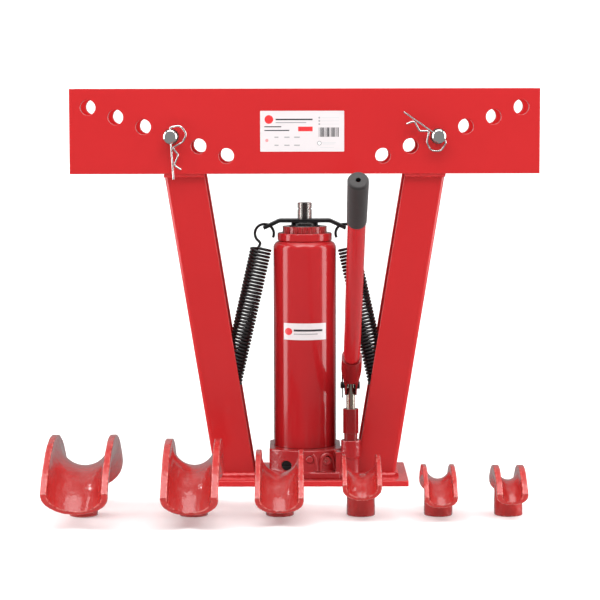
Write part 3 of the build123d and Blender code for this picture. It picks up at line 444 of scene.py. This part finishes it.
def printed(name, centre, patches, discs):
    """White film with plain printed blocks. Each patch is (x, z, width, height, tone) and each disc
    (x, z, radius, tone), in millimetres from the label's middle."""
    material, tree, shader, place = blank(name, Roughness=0.28, Coat_Weight=0.3, Coat_Roughness=0.12)
    split = add(tree, "ShaderNodeSeparateXYZ", {0: place})
    across = maths(tree, "MULTIPLY", maths(tree, "SUBTRACT", split.outputs["X"], centre.x), 1000.0)
    up = maths(tree, "MULTIPLY", maths(tree, "SUBTRACT", split.outputs["Z"], centre.z), 1000.0)
    paper = add(tree, "ShaderNodeTexNoise", {"Vector": place, "Scale": 90.0, "Detail": 3.0})
    colour = tint(tree, maths(tree, "MULTIPLY", paper.outputs[0], 0.12),
                  (0.7, 0.66, 0.67, 1.0), (0.58, 0.55, 0.55, 1.0))
    for x, z, width, height, tone in patches:
        aside = maths(tree, "ABSOLUTE", maths(tree, "SUBTRACT", across, x))
        above = maths(tree, "ABSOLUTE", maths(tree, "SUBTRACT", up, z))
        wide = maths(tree, "LESS_THAN", aside, width / 2)
        tall = maths(tree, "LESS_THAN", above, height / 2)
        colour = tint(tree, maths(tree, "MULTIPLY", wide, tall), colour, tone)
    for x, z, radius, tone in discs:
        dx, dz = maths(tree, "SUBTRACT", across, x), maths(tree, "SUBTRACT", up, z)
        reach = maths(tree, "SQRT", maths(tree, "ADD", maths(tree, "MULTIPLY", dx, dx),
                                          maths(tree, "MULTIPLY", dz, dz)))
        colour = tint(tree, maths(tree, "LESS_THAN", reach, radius), colour, tone)
    tree.links.new(colour, shader.inputs["Base Color"])
    relief(tree, shader, paper.outputs[0], 0.00001)
    return material


INK = (0.03, 0.03, 0.035, 1.0)
GREY_INK = (0.33, 0.33, 0.34, 1.0)
PALE_INK = (0.6, 0.6, 0.61, 1.0)
RED_INK = (0.7, 0.03, 0.035, 1.0)


def plate_label_print():
    """Size table, tag, three bullets and a block of bars, all without lettering."""
    patches = [(-10.0, 14.6, 46.0, 1.8, INK), (-14.0, 10.8, 38.0, 1.2, GREY_INK),
               (-36.5, 5.6, 21.0, 1.3, INK), (-31.5, 1.0, 31.0, 1.3, INK), (4.0, 2.8, 18.0, 5.8, RED_INK),
               (33.0, -14.4, 18.0, 1.0, PALE_INK), (33.0, -16.0, 14.0, 0.8, PALE_INK),
               (31.0, -20.2, 17.0, 0.8, PALE_INK)]
    patches += [(x, z, width, 1.4, GREY_INK) for z in (-7.4, -17.4)
                for x, width in ((-32.0, 5.0), (-19.0, 6.5), (-6.5, 7.0))]
    patches += [(35.0, z, 22.0, 0.8, PALE_INK) for z in (16.8, 12.8, 8.8)]
    patches += [(21.0 + 1.7 * k, -1.2, 0.5 + 0.35 * (k * 5 % 4), 11.6, INK) for k in range(15)]
    discs = [(-41.4, 14.6, 5.4, RED_INK), (-44.0, -11.4, 2.0, (0.75, 0.3, 0.3, 1.0)),
             (21.3, -14.9, 2.8, GREY_INK), (21.3, -14.9, 1.9, (0.85, 0.85, 0.86, 1.0))]
    discs += [(21.3, z, 1.2, GREY_INK) for z in (16.8, 12.8, 8.8)]
    low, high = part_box("plate_label")
    return printed("Plate label print", (low + high) / 2, patches, discs)


def jack_label_print():
    """Red spot and two bars on the jack's label."""
    low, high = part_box("jack_label")
    return printed("Jack label print", (low + high) / 2,
                   [(4.0, 1.6, 36.0, 2.6, INK), (1.0, -3.0, 30.0, 1.4, GREY_INK)],
                   [(-20.5, 0.0, 4.6, RED_INK)])


def finishes():
    """Every finish by name."""
    paint, metal = bpy.context.scene.bender_paint, bpy.context.scene.bender_metal
    lengthwise, round_y = (1.0, 40.0, 40.0), (1.0, 40.0, 1.0)
    return {
        "frame": enamel("Gloss red enamel", paint.frame_red),
        # The legs take a slightly darker copy of the frame red: painted shade
        "leg": enamel("Shaded gloss red enamel on the legs", tuple(c * 0.94 for c in paint.frame_red)),
        "jack": enamel("Dark red enamel on the jack", paint.jack_red, peel_depth=0.00003, drift=0.14),
        "pump": enamel("Deep red enamel on the pump", tuple(c * 0.46 for c in paint.jack_red),
                       peel_depth=0.00006, drift=0.2, cast=0.8, edge_wear_and_highlight_share=0.4),
        "casting": enamel("Red enamel on rough castings", tuple(c * 0.78 for c in paint.jack_red),
                          peel_depth=0.00022, drift=0.25, cast=1.8, edge_wear_and_highlight_share=0.5, edge=0.001, gloss=0.7),
        "die": enamel("Red enamel on cast dies", paint.die_red, peel_depth=0.0003, drift=0.2, cast=1.8,
                      edge_wear_and_highlight_share=1.0, edge=0.0026, gloss=1.0),
        # The beads take a lighter copy of the frame red: a painted highlight
        "weld": enamel("Lightened red enamel on weld beads", tuple(min(1.0, c * 1.1 + 0.01) for c in paint.frame_red),
                       peel_depth=0.0001, drift=0.3, cast=0.8, edge_wear_and_highlight_share=0.25),
        "zinc": turned("Bright zinc plate", metal.zinc, 0.17, round_y, 90.0, 0.000006, (0.5, 0.5, 0.52)),
        "steel": turned("Turned steel", metal.steel, 0.22, (1.0, 1.0, 40.0), 110.0, 0.00001),
        "roller": turned("Turned roller steel", metal.steel, 0.3, round_y, 110.0, 0.00001),
        "plunger": turned("Honed plunger steel", (0.42, 0.38, 0.32), 0.2, (1.0, 1.0, 40.0), 100.0, 0.000008),
        "honed": turned("Honed bore steel", (0.45, 0.45, 0.46), 0.25, lengthwise, 80.0, 0.000008),
        "black": turned("Black oxide", metal.black, 0.3, (1.0, 1.0, 12.0), 90.0, 0.00002, (0.06, 0.055, 0.05),
                        metallic=0.6),
        "spring": turned("Black spring wire", metal.black, 0.2, (1.0, 1.0, 1.0), 260.0, 0.00001,
                         (0.05, 0.05, 0.05), metallic=0.3, edge=0.0002),
        "ram": ram_steel("Ram steel", metal.black, metal.steel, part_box("spring_bracket")[1].z - 0.004),
        "grip": rubber("Grip rubber", metal.rubber),
        "seal": rubber("Seal rubber", (0.02, 0.02, 0.02), 0.5),
        "plate_label": plate_label_print(),
        "jack_label": jack_label_print(),
    }


FINISH_OF = {
    "base_plate": "frame", "leg_left": "leg", "leg_right": "leg", "cross_plate_front": "frame",
    "cross_plate_rear": "frame", "plate_welds": "weld", "foot_welds": "weld",
    "spring_anchor_left": "leg", "spring_anchor_right": "leg", "plate_label": "plate_label",
    "jack_base": "casting", "jack_bolts": "zinc", "cylinder_liner": "honed", "reservoir_tube": "jack",
    "fill_plug": "seal", "tank_nut": "jack", "gland_nut": "casting", "ram_wiper": "seal", "ram": "ram",
    "piston": "steel", "piston_cup": "seal", "release_valve": "black", "relief_plug": "casting",
    "check_plug": "casting", "jack_label": "jack_label", "spring_bracket": "black",
    "return_spring_left": "spring", "return_spring_right": "spring", "pump_barrel": "pump",
    "pump_wiper": "seal", "pump_plunger": "plunger", "pump_pin": "black", "pump_pin_clip": "black",
    "fulcrum_post": "pump", "fulcrum_pin": "black", "fulcrum_bolt": "black", "handle_socket": "pump",
    "handle_tube": "jack", "handle_grip": "grip", "roller_left": "roller", "roller_right": "roller",
    "roller_pin_left": "zinc", "roller_pin_right": "zinc", "roller_clip_left": "zinc",
    "roller_clip_right": "zinc",
}


# ---------------------------------------------------------------- geometry trees
def geometry_tree(name, inputs):
    """A geometry tree with a Geometry input and output and named inputs: (tree, inputs, output node)."""
    tree = bpy.data.node_groups.new(name, "GeometryNodeTree")
    tree.interface.new_socket("Geometry", in_out="INPUT", socket_type="NodeSocketGeometry")
    for label, kind, value in inputs:
        socket = tree.interface.new_socket(label, in_out="INPUT", socket_type=kind)
        if value is not None:
            socket.default_value = value
    tree.interface.new_socket("Geometry", in_out="OUTPUT", socket_type="NodeSocketGeometry")
    return tree, tree.nodes.new("NodeGroupInput").outputs, tree.nodes.new("NodeGroupOutput")


def close_tree(tree, geometry, finish, out):
    """The end of every geometry tree: smooth, real and with its finish."""
    smooth = add(tree, "GeometryNodeSetShadeSmooth", {"Geometry": geometry})
    real = add(tree, "GeometryNodeRealizeInstances", {"Geometry": smooth.outputs[0]})
    named = add(tree, "GeometryNodeSetMaterial", {"Geometry": real.outputs[0], "Material": finish})
    tree.links.new(named.outputs[0], out.inputs["Geometry"])


def wire_tree():
    """Round wire drawn along the edges of its input, with closed ends."""
    tree, given, out = geometry_tree("Drawn wire", [
        ("Wire Diameter", "NodeSocketFloat", 0.003), ("Sides", "NodeSocketInt", 10),
        ("Finish", "NodeSocketMaterial", None)])
    path = add(tree, "GeometryNodeMeshToCurve", {"Mesh": given["Geometry"]})
    ring = add(tree, "GeometryNodeCurvePrimitiveCircle", {
        "Resolution": given["Sides"], "Radius": maths(tree, "MULTIPLY", given["Wire Diameter"], 0.5)})
    swept = add(tree, "GeometryNodeCurveToMesh", {
        "Curve": path.outputs[0], "Profile Curve": ring.outputs[0], "Fill Caps": True})
    close_tree(tree, swept.outputs[0], given["Finish"], out)
    return tree


def bead_tree():
    """A weld bead along the edges of its input: a round run with ripples and lumps."""
    tree, given, out = geometry_tree("Weld bead", [
        ("Bead Width", "NodeSocketFloat", 0.006), ("Ripple", "NodeSocketFloat", 0.0022),
        ("Lump Height", "NodeSocketFloat", 0.0007), ("Seed", "NodeSocketInt", 1),
        ("Finish", "NodeSocketMaterial", None)])
    path = add(tree, "GeometryNodeMeshToCurve", {"Mesh": given["Geometry"]})
    fine = add(tree, "GeometryNodeResampleCurve", {"Curve": path.outputs[0], "Length": 0.0006}, mode="LENGTH")
    ring = add(tree, "GeometryNodeCurvePrimitiveCircle", {
        "Resolution": 16, "Radius": maths(tree, "MULTIPLY", given["Bead Width"], 0.5)})
    swept = add(tree, "GeometryNodeCurveToMesh", {
        "Curve": fine.outputs[0], "Profile Curve": ring.outputs[0], "Fill Caps": True})
    place = tree.nodes.new("GeometryNodeInputPosition")
    facing = tree.nodes.new("GeometryNodeInputNormal")
    coarse = add(tree, "ShaderNodeTexNoise", {
        "Vector": place.outputs[0], "W": given["Seed"], "Detail": 2.0,
        "Scale": maths(tree, "DIVIDE", 0.7, given["Ripple"])}, noise_dimensions="4D")
    lump = maths(tree, "MULTIPLY", maths(tree, "SUBTRACT", coarse.outputs[0], 0.5), 3.2)
    push = add(tree, "ShaderNodeVectorMath", {
        0: facing.outputs[0], "Scale": maths(tree, "MULTIPLY", lump, given["Lump Height"])},
        operation="SCALE")
    rough = add(tree, "GeometryNodeSetPosition", {"Geometry": swept.outputs[0], "Offset": push.outputs[0]})
    close_tree(tree, rough.outputs[0], given["Finish"], out)
    return tree


def cast_tree():
    """Cast skin on a closed mesh: sand grain and slow waves, sunk below its own surface."""
    tree, given, out = geometry_tree("Cast surface", [
        ("Grain Height", "NodeSocketFloat", 0.0002), ("Grain Size", "NodeSocketFloat", 0.003),
        ("Seed", "NodeSocketInt", 1), ("Finish", "NodeSocketMaterial", None)])
    place = tree.nodes.new("GeometryNodeInputPosition")
    facing = tree.nodes.new("GeometryNodeInputNormal")
    grain = add(tree, "ShaderNodeTexNoise", {
        "Vector": place.outputs[0], "W": given["Seed"], "Detail": 3.0,
        "Scale": maths(tree, "DIVIDE", 1.0, given["Grain Size"])}, noise_dimensions="4D")
    wave = add(tree, "ShaderNodeTexNoise", {
        "Vector": place.outputs[0], "W": given["Seed"], "Detail": 1.0, "Scale": 45.0}, noise_dimensions="4D")
    both = maths(tree, "ADD", maths(tree, "SUBTRACT", grain.outputs[0], 0.8),
                 maths(tree, "MULTIPLY", maths(tree, "SUBTRACT", wave.outputs[0], 0.8), 2.0))
    push = add(tree, "ShaderNodeVectorMath", {
        0: facing.outputs[0], "Scale": maths(tree, "MULTIPLY", both, given["Grain Height"])},
        operation="SCALE")
    moved = add(tree, "GeometryNodeSetPosition", {"Geometry": given["Geometry"], "Offset": push.outputs[0]})
    close_tree(tree, moved.outputs[0], given["Finish"], out)
    return tree


TREES = {"Drawn wire": wire_tree, "Weld bead": bead_tree, "Cast surface": cast_tree}


def linked(name, mesh):
    """A new object in the scene, at the origin."""
    obj = bpy.data.objects.new(name, mesh)
    bpy.context.scene.collection.objects.link(obj)
    return obj


def grown(name, source, tree_name, **values):
    """The plain mesh that a geometry tree makes of a source object, which is then removed."""
    if tree_name not in bpy.data.node_groups:
        TREES[tree_name]()
    tree = bpy.data.node_groups[tree_name]
    modifier = source.modifiers.new(tree_name, "NODES")
    modifier.node_group = tree
    wanted = {key.replace("_", " ").lower(): value for key, value in values.items()}
    for item in tree.interface.items_tree:
        if item.item_type == "SOCKET" and item.in_out == "INPUT" and item.name.lower() in wanted:
            modifier[item.identifier] = wanted.pop(item.name.lower())
    if wanted:
        raise RuntimeError(f"{tree_name} has no input named {sorted(wanted)}")
    mesh = flattened(source)
    bpy.data.objects.remove(source)
    if not mesh.polygons:
        raise RuntimeError(f"{name} came out empty")
    return linked(name, mesh)


def flattened(obj):
    """A copy of an object's mesh with its modifiers applied."""
    graph = bpy.context.evaluated_depsgraph_get()
    graph.update()
    return bpy.data.meshes.new_from_object(obj.evaluated_get(graph), depsgraph=graph)


def path_object(name, runs):
    """An object whose edges join the points of each run in turn."""
    mesh = bpy.data.meshes.new(name)
    points, edges = [], []
    for run in runs:
        edges += [(len(points) + k, len(points) + k + 1) for k in range(len(run) - 1)]
        points += run
    mesh.from_pydata(points, edges, [])
    return linked(name, mesh)


def finish_named(name):
    """A finish made by the operator that finishes the parts."""
    return bpy.data.materials[bpy.context.scene["bender_finishes"][name]]


# ---------------------------------------------------------------- pieces
class BENDER_OT_finish_parts(bpy.types.Operator):
    """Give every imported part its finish"""
    bl_idname = "bender.finish_parts"
    bl_label = "Finish the packed parts"

    def execute(self, context):
        made = finishes()
        context.scene["bender_finishes"] = {key: material.name for key, material in made.items()}
        for name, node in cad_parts.items():
            finish = "die" if name in DIES else FINISH_OF[name]
            node.data.materials.clear()
            node.data.materials.append(made[finish])
        return {"FINISHED"}


def spring_points(springs, side):
    """Points along the middle of a return spring's wire."""
    wire, radius = springs.wire_diameter, (springs.coil_diameter - springs.wire_diameter) / 2
    low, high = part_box(f"return_spring_{'left' if side < 0 else 'right'}")
    lean = springs.lean
    up = Vector((-side * math.sin(lean), 0.0, math.cos(lean)))
    across = Vector((math.cos(lean), 0.0, side * math.sin(lean)))
    # The top loop's outer rim is the highest point of the spring.
    top_z = high.z - springs.loop_radius - wire / 2
    rim = springs.loop_radius + wire / 2
    inner_x = (high.x if side < 0 else low.x) + side * rim
    top_loop = Vector((inner_x, 0.0, top_z))
    coil_top = top_loop - up * springs.loop_offset
    points = []
    steps = 34
    # Round the top loop, over its crown and down to the coil.
    first = -13 if side < 0 else 193
    last = 245 if side < 0 else -65
    for k in range(steps + 1):
        angle = math.radians(first + (last - first) * k / steps)
        points.append(top_loop + across * (springs.loop_radius * math.cos(angle))
                      + up * (springs.loop_radius * math.sin(angle)))
    turns, per_turn = springs.turns, 22
    body = springs.coil_length - wire
    begin = -math.pi / 2
    coil = []
    for k in range(turns * per_turn + 1):
        share = k / (turns * per_turn)
        angle = begin - side * 2 * math.pi * turns * share
        coil.append(coil_top - up * (wire / 2 + body * share)
                    + across * (radius * math.cos(angle)) + Vector((0, radius * math.sin(angle), 0)))
    points += eased(points[-2], points[-1], coil[0], coil[1], 9)
    points += coil
    bottom_loop = coil_top - up * (springs.coil_length + springs.loop_offset)
    first, last = (65, 390) if side < 0 else (115, -210)
    hook = []
    for k in range(steps + 1):
        angle = math.radians(first + (last - first) * k / steps)
        hook.append(bottom_loop + across * (springs.loop_radius * math.cos(angle))
                    + up * (springs.loop_radius * math.sin(angle)))
    points += eased(points[-2], points[-1], hook[0], hook[1], 9)
    return points + hook


def eased(before, start, end, after, count):
    """Points between two runs of wire, which leave and arrive in line with them."""
    reach = (end - start).length * 0.55
    first = start + (start - before).normalized() * reach
    last = end - (after - end).normalized() * reach
    made = []
    for k in range(1, count):
        t = k / count
        made.append(start * (1 - t) ** 3 + first * (3 * t * (1 - t) ** 2)
                    + last * (3 * t * t * (1 - t)) + end * t ** 3)
    return made


class BENDER_OT_return_springs(bpy.types.Operator):
    """Wind both return springs and stretch them between the frame and the ram"""
    bl_idname = "bender.return_springs"
    bl_label = "Wind the return springs"

    def execute(self, context):
        springs = context.scene.bender_springs
        for side_name, side in SIDES.items():
            points = spring_points(springs, side)
            spring = grown(f"wound_spring_{side_name}", path_object("spring path", [points]), "Drawn wire",
                           wire_diameter=springs.wire_diameter, sides=10, finish=finish_named("spring"))
            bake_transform(spring)
            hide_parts(f"return_spring_{side_name}")
        return {"FINISHED"}


def leg_edges(side, z):
    """The outer and inner X of a leg at height z."""
    low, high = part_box(f"leg_{'left' if side < 0 else 'right'}")
    slope = math.tan(LEG_LEAN)
    outer_foot = max(abs(low.x), abs(high.x)) - (high.z - low.z) * slope
    width = outer_foot - min(abs(low.x), abs(high.x))
    outer = outer_foot + (z - low.z) * slope
    return side * outer, side * (outer - width)


class BENDER_OT_weld_beads(bpy.types.Operator):
    """Lay the weld beads where the legs meet the cross plates and the base"""
    bl_idname = "bender.weld_beads"
    bl_label = "Lay the weld beads"

    def execute(self, context):
        casting = context.scene.bender_casting
        width = casting.bead_width
        foot_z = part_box("base_plate")[1].z
        plate_low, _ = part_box("cross_plate_front")
        leg_low, leg_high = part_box("leg_left")
        plate_runs, foot_runs = [], []
        for side in SIDES.values():
            for face in (-1, 1):
                y = face * (abs(leg_low.y) + width * 0.12)
                outer, inner = leg_edges(side, plate_low.z)
                plate_runs.append([Vector((outer, y, plate_low.z - width * 0.1)),
                                   Vector((inner, y, plate_low.z - width * 0.1))])
                outer, inner = leg_edges(side, foot_z)
                foot_runs.append([Vector((outer, y, foot_z + width * 0.12)),
                                  Vector((inner, y, foot_z + width * 0.12))])
            outer, inner = leg_edges(side, foot_z)
            foot_runs.append([Vector((outer + side * width * 0.12, y, foot_z + width * 0.12))
                              for y in (leg_low.y, leg_high.y)])
        for name, runs, seed, stands_for in (("plate_bead", plate_runs, 3, "plate_welds"),
                                             ("foot_bead", foot_runs, 8, "foot_welds")):
            bead = grown(name, path_object("bead path", runs), "Weld bead", bead_width=width,
                         ripple=0.0024, lump_height=0.0008, seed=seed, finish=finish_named("weld"))
            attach(bead, "frame")
            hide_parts(stands_for)
        return {"FINISHED"}


def solid_copy(node):
    """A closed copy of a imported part's mesh, with its loose triangles joined."""
    shell = bmesh.new()
    shell.from_mesh(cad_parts[node].data)
    bmesh.ops.remove_doubles(shell, verts=shell.verts, dist=0.000002)
    mesh = bpy.data.meshes.new(f"{node} copy")
    shell.to_mesh(mesh)
    shell.free()
    return linked(f"{node} copy", mesh)


def cast_piece(name, node, cell, grain, seed, finish, smoothing=4):
    """A packed casting with its edges rounded off and a sand-cast skin."""
    source = solid_copy(node)
    mesher = source.modifiers.new("Even faces", "REMESH")
    mesher.mode = "VOXEL"
    mesher.voxel_size = cell
    mesher.use_smooth_shade = True
    softener = source.modifiers.new("Soft edges", "SMOOTH")
    softener.factor = 0.5
    softener.iterations = smoothing
    even = linked(f"{name} even", flattened(source))
    bpy.data.objects.remove(source)
    return grown(name, even, "Cast surface", grain_height=grain, grain_size=0.0032, seed=seed, finish=finish)


class BENDER_OT_cast_dies(bpy.types.Operator):
    """Turn each die's plain solid into a casting"""
    bl_idname = "bender.cast_dies"
    bl_label = "Cast the dies"

    def execute(self, context):
        casting = context.scene.bender_casting
        for seed, node in enumerate(DIES):
            cell = casting.die_cell * 1.0
            piece = cast_piece(f"cast_{node}", node, cell, casting.grain_height * 2, seed + 1,
                               finish_named("die"), smoothing=2)
            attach(piece, node)
            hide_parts(node)
        return {"FINISHED"}


class BENDER_OT_jack_casting(bpy.types.Operator):
    """Cast the jack's foot and raise the ribs on its front"""
    bl_idname = "bender.jack_casting"
    bl_label = "Cast the jack's foot"

    def execute(self, context):
        casting = context.scene.bender_casting
        piece = cast_piece("cast_jack_foot", "jack_base", casting.foot_cell, casting.grain_height * 1.6, 11,
                           finish_named("casting"), smoothing=2)
        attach(piece, "frame")
        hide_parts("jack_base")
        runs = []
        curved = [(9.2, 38.2), (11.4, 36.0), (13.0, 31.0), (14.2, 24.5), (14.6, 17.5)]
        runs.append([on_front(x * MM, z * MM) for x, z in smoothed(curved)])
        arch = [(19.4, 17.0), (19.4, 28.0), (20.6, 34.2), (24.6, 37.6), (29.6, 37.4), (33.8, 33.6),
                (36.0, 27.0), (37.2, 17.0)]
        runs.append([on_front(x * MM, z * MM) for x, z in smoothed(arch)])
        ribs = grown("foot_ribs", path_object("rib path", runs), "Weld bead", bead_width=casting.rib_width,
                     ripple=0.005, lump_height=0.0002, seed=2, finish=finish_named("casting"))
        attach(ribs, "frame")
        return {"FINISHED"}


def on_front(x, z):
    """A point on the round front of the jack's casting."""
    return Vector((x, -math.sqrt(FOOT_RADIUS * FOOT_RADIUS - x * x), z))


def smoothed(points):
    """Corner points cut into a smooth line, its ends kept."""
    for _ in range(CORNER_CUTS):
        cut = [points[0]]
        for (ax, az), (bx, bz) in zip(points, points[1:]):
            cut += [(0.75 * ax + 0.25 * bx, 0.75 * az + 0.25 * bz),
                    (0.25 * ax + 0.75 * bx, 0.25 * az + 0.75 * bz)]
        points = cut + [points[-1]]
    return points


# ---------------------------------------------------------------- stage
def area_light(name, place, aim, width, height, power):
    """A soft box that faces a point."""
    data = bpy.data.lights.new(name, "AREA")
    data.shape = "RECTANGLE"
    data.size, data.size_y = width, height
    data.energy = power
    light = bpy.data.objects.new(name, data)
    bpy.context.scene.collection.objects.link(light)
    light.location = place
    light.rotation_euler = (Vector(aim) - Vector(place)).to_track_quat("-Z", "Y").to_euler()
    return light


def paper_sweep(tone):
    """A floor that curves up into a backdrop."""
    half, front, back, rise, bend, steps = 6.0, -6.0, 3.2, 5.0, 1.6, 16
    outline = [(front, 0.0)]
    turns = [k * math.pi / 2 / steps for k in range(steps + 1)]
    outline += [(back + bend * math.sin(turn), bend - bend * math.cos(turn)) for turn in turns]
    outline += [(back + bend, rise)]
    mesh = bpy.data.meshes.new("paper sweep")
    points = [(x, y, z) for y, z in outline for x in (-half, half)]
    faces = [(2 * k, 2 * k + 1, 2 * k + 3, 2 * k + 2) for k in range(len(outline) - 1)]
    mesh.from_pydata(points, [], faces)
    mesh.polygons.foreach_set("use_smooth", [True] * len(faces))
    sweep = linked("paper_sweep", mesh)
    sweep.visible_glossy = False
    material, tree, shader, place = blank("Pale paper", Roughness=0.85, Specular_IOR_Level=0.2,
                                          Emission_Color=(1.0, 1.0, 1.0, 1.0), Emission_Strength=0.12)
    fibre = add(tree, "ShaderNodeTexNoise", {"Vector": place, "Scale": 40.0, "Detail": 4.0})
    flecks = maths(tree, "MULTIPLY", fibre.outputs[0], 0.05)
    tree.links.new(tint(tree, flecks, rgba(tone), (0.8, 0.8, 0.8, 1.0)), shader.inputs["Base Color"])
    mesh.materials.append(material)
    return sweep


class BENDER_OT_studio(bpy.types.Operator):
    """Set the floor, the lights, the surroundings and the camera"""
    bl_idname = "bender.studio"
    bl_label = "Set up the studio"

    def execute(self, context):
        studio = context.scene.bender_studio
        paper_sweep(studio.floor_tone)
        aim = (0.0, 0.0, 0.25)
        area_light("left box", (-2.0, -0.15, 0.8), aim, 1.5, 2.2, 44.0)
        area_light("right box", (2.0, -0.15, 0.8), aim, 1.5, 2.2, 44.0)
        area_light("top box", (0.0, -0.5, 2.4), aim, 2.6, 1.6, 36.0)
        area_light("high left box", (-1.3, -2.4, 2.5), aim, 0.8, 0.8, 9.0)
        area_light("high right box", (1.2, -2.5, 2.5), aim, 0.8, 0.8, 9.0)
        area_light("high strip", (0.0, -1.3, 2.2), (0.0, -0.1, 0.1), 2.4, 0.5, 24.0)
        area_light("backdrop light left", (-2.6, 1.6, 2.2), (-0.8, 4.2, 1.0), 1.6, 1.6, 90.0)
        area_light("backdrop light right", (2.6, 1.6, 2.2), (0.8, 4.2, 1.0), 1.6, 1.6, 90.0)
        world = bpy.data.worlds.new("studio air")
        world.use_nodes = True
        sky = world.node_tree.nodes["Background"]
        sky.inputs["Color"].default_value = (1.0, 1.0, 1.0, 1.0)
        sky.inputs["Strength"].default_value = 0.3
        context.scene.world = world
        context.scene.view_settings.view_transform = "Standard"
        data = bpy.data.cameras.new("studio camera")
        data.sensor_width = 36.0
        data.lens = studio.lens
        camera = bpy.data.objects.new("studio camera", data)
        context.scene.collection.objects.link(camera)
        camera.matrix_world = (Matrix.Translation((-0.0061, -studio.camera_distance, studio.camera_height))
                               @ Matrix.Rotation(math.pi / 2 - studio.tilt, 4, "X")
                               @ Matrix.Rotation(math.radians(-0.11), 4, "Z"))
        context.scene.camera = camera
        return {"FINISHED"}


PIECES = (BENDER_OT_finish_parts, BENDER_OT_return_springs, BENDER_OT_weld_beads, BENDER_OT_cast_dies,
          BENDER_OT_jack_casting, BENDER_OT_studio)


class BENDER_PT_looks(bpy.types.Panel):
    """Lists the bender's settings and the steps that build its looks"""
    bl_idname = "BENDER_PT_looks"
    bl_label = "Pipe bender"
    bl_space_type = "VIEW_3D"
    bl_region_type = "UI"
    bl_category = "Pipe bender"

    def draw(self, context):
        for piece in PIECES:
            self.layout.operator(piece.bl_idname)
        for key in SETTINGS:
            group = getattr(context.scene, key)
            box = self.layout.box()
            for name in group.bl_rna.properties.keys():
                if name not in ("rna_type", "name"):
                    box.prop(group, name)


def register():
    """Register the settings, the operators and the panel."""
    for key, group in SETTINGS.items():
        bpy.utils.register_class(group)
        setattr(bpy.types.Scene, key, PointerProperty(type=group))
    for piece in (*PIECES, BENDER_PT_looks):
        bpy.utils.register_class(piece)


def unregister():
    """Undo register."""
    for piece in reversed((*PIECES, BENDER_PT_looks)):
        bpy.utils.unregister_class(piece)
    for key, group in SETTINGS.items():
        delattr(bpy.types.Scene, key)
        bpy.utils.unregister_class(group)


def main():
    """Build every piece in order."""
    register()
    bpy.ops.bender.finish_parts()
    bpy.ops.bender.return_springs()
    bpy.ops.bender.weld_beads()
    bpy.ops.bender.cast_dies()
    bpy.ops.bender.jack_casting()
    bpy.ops.bender.studio()


if __name__ == "__main__":
    main()
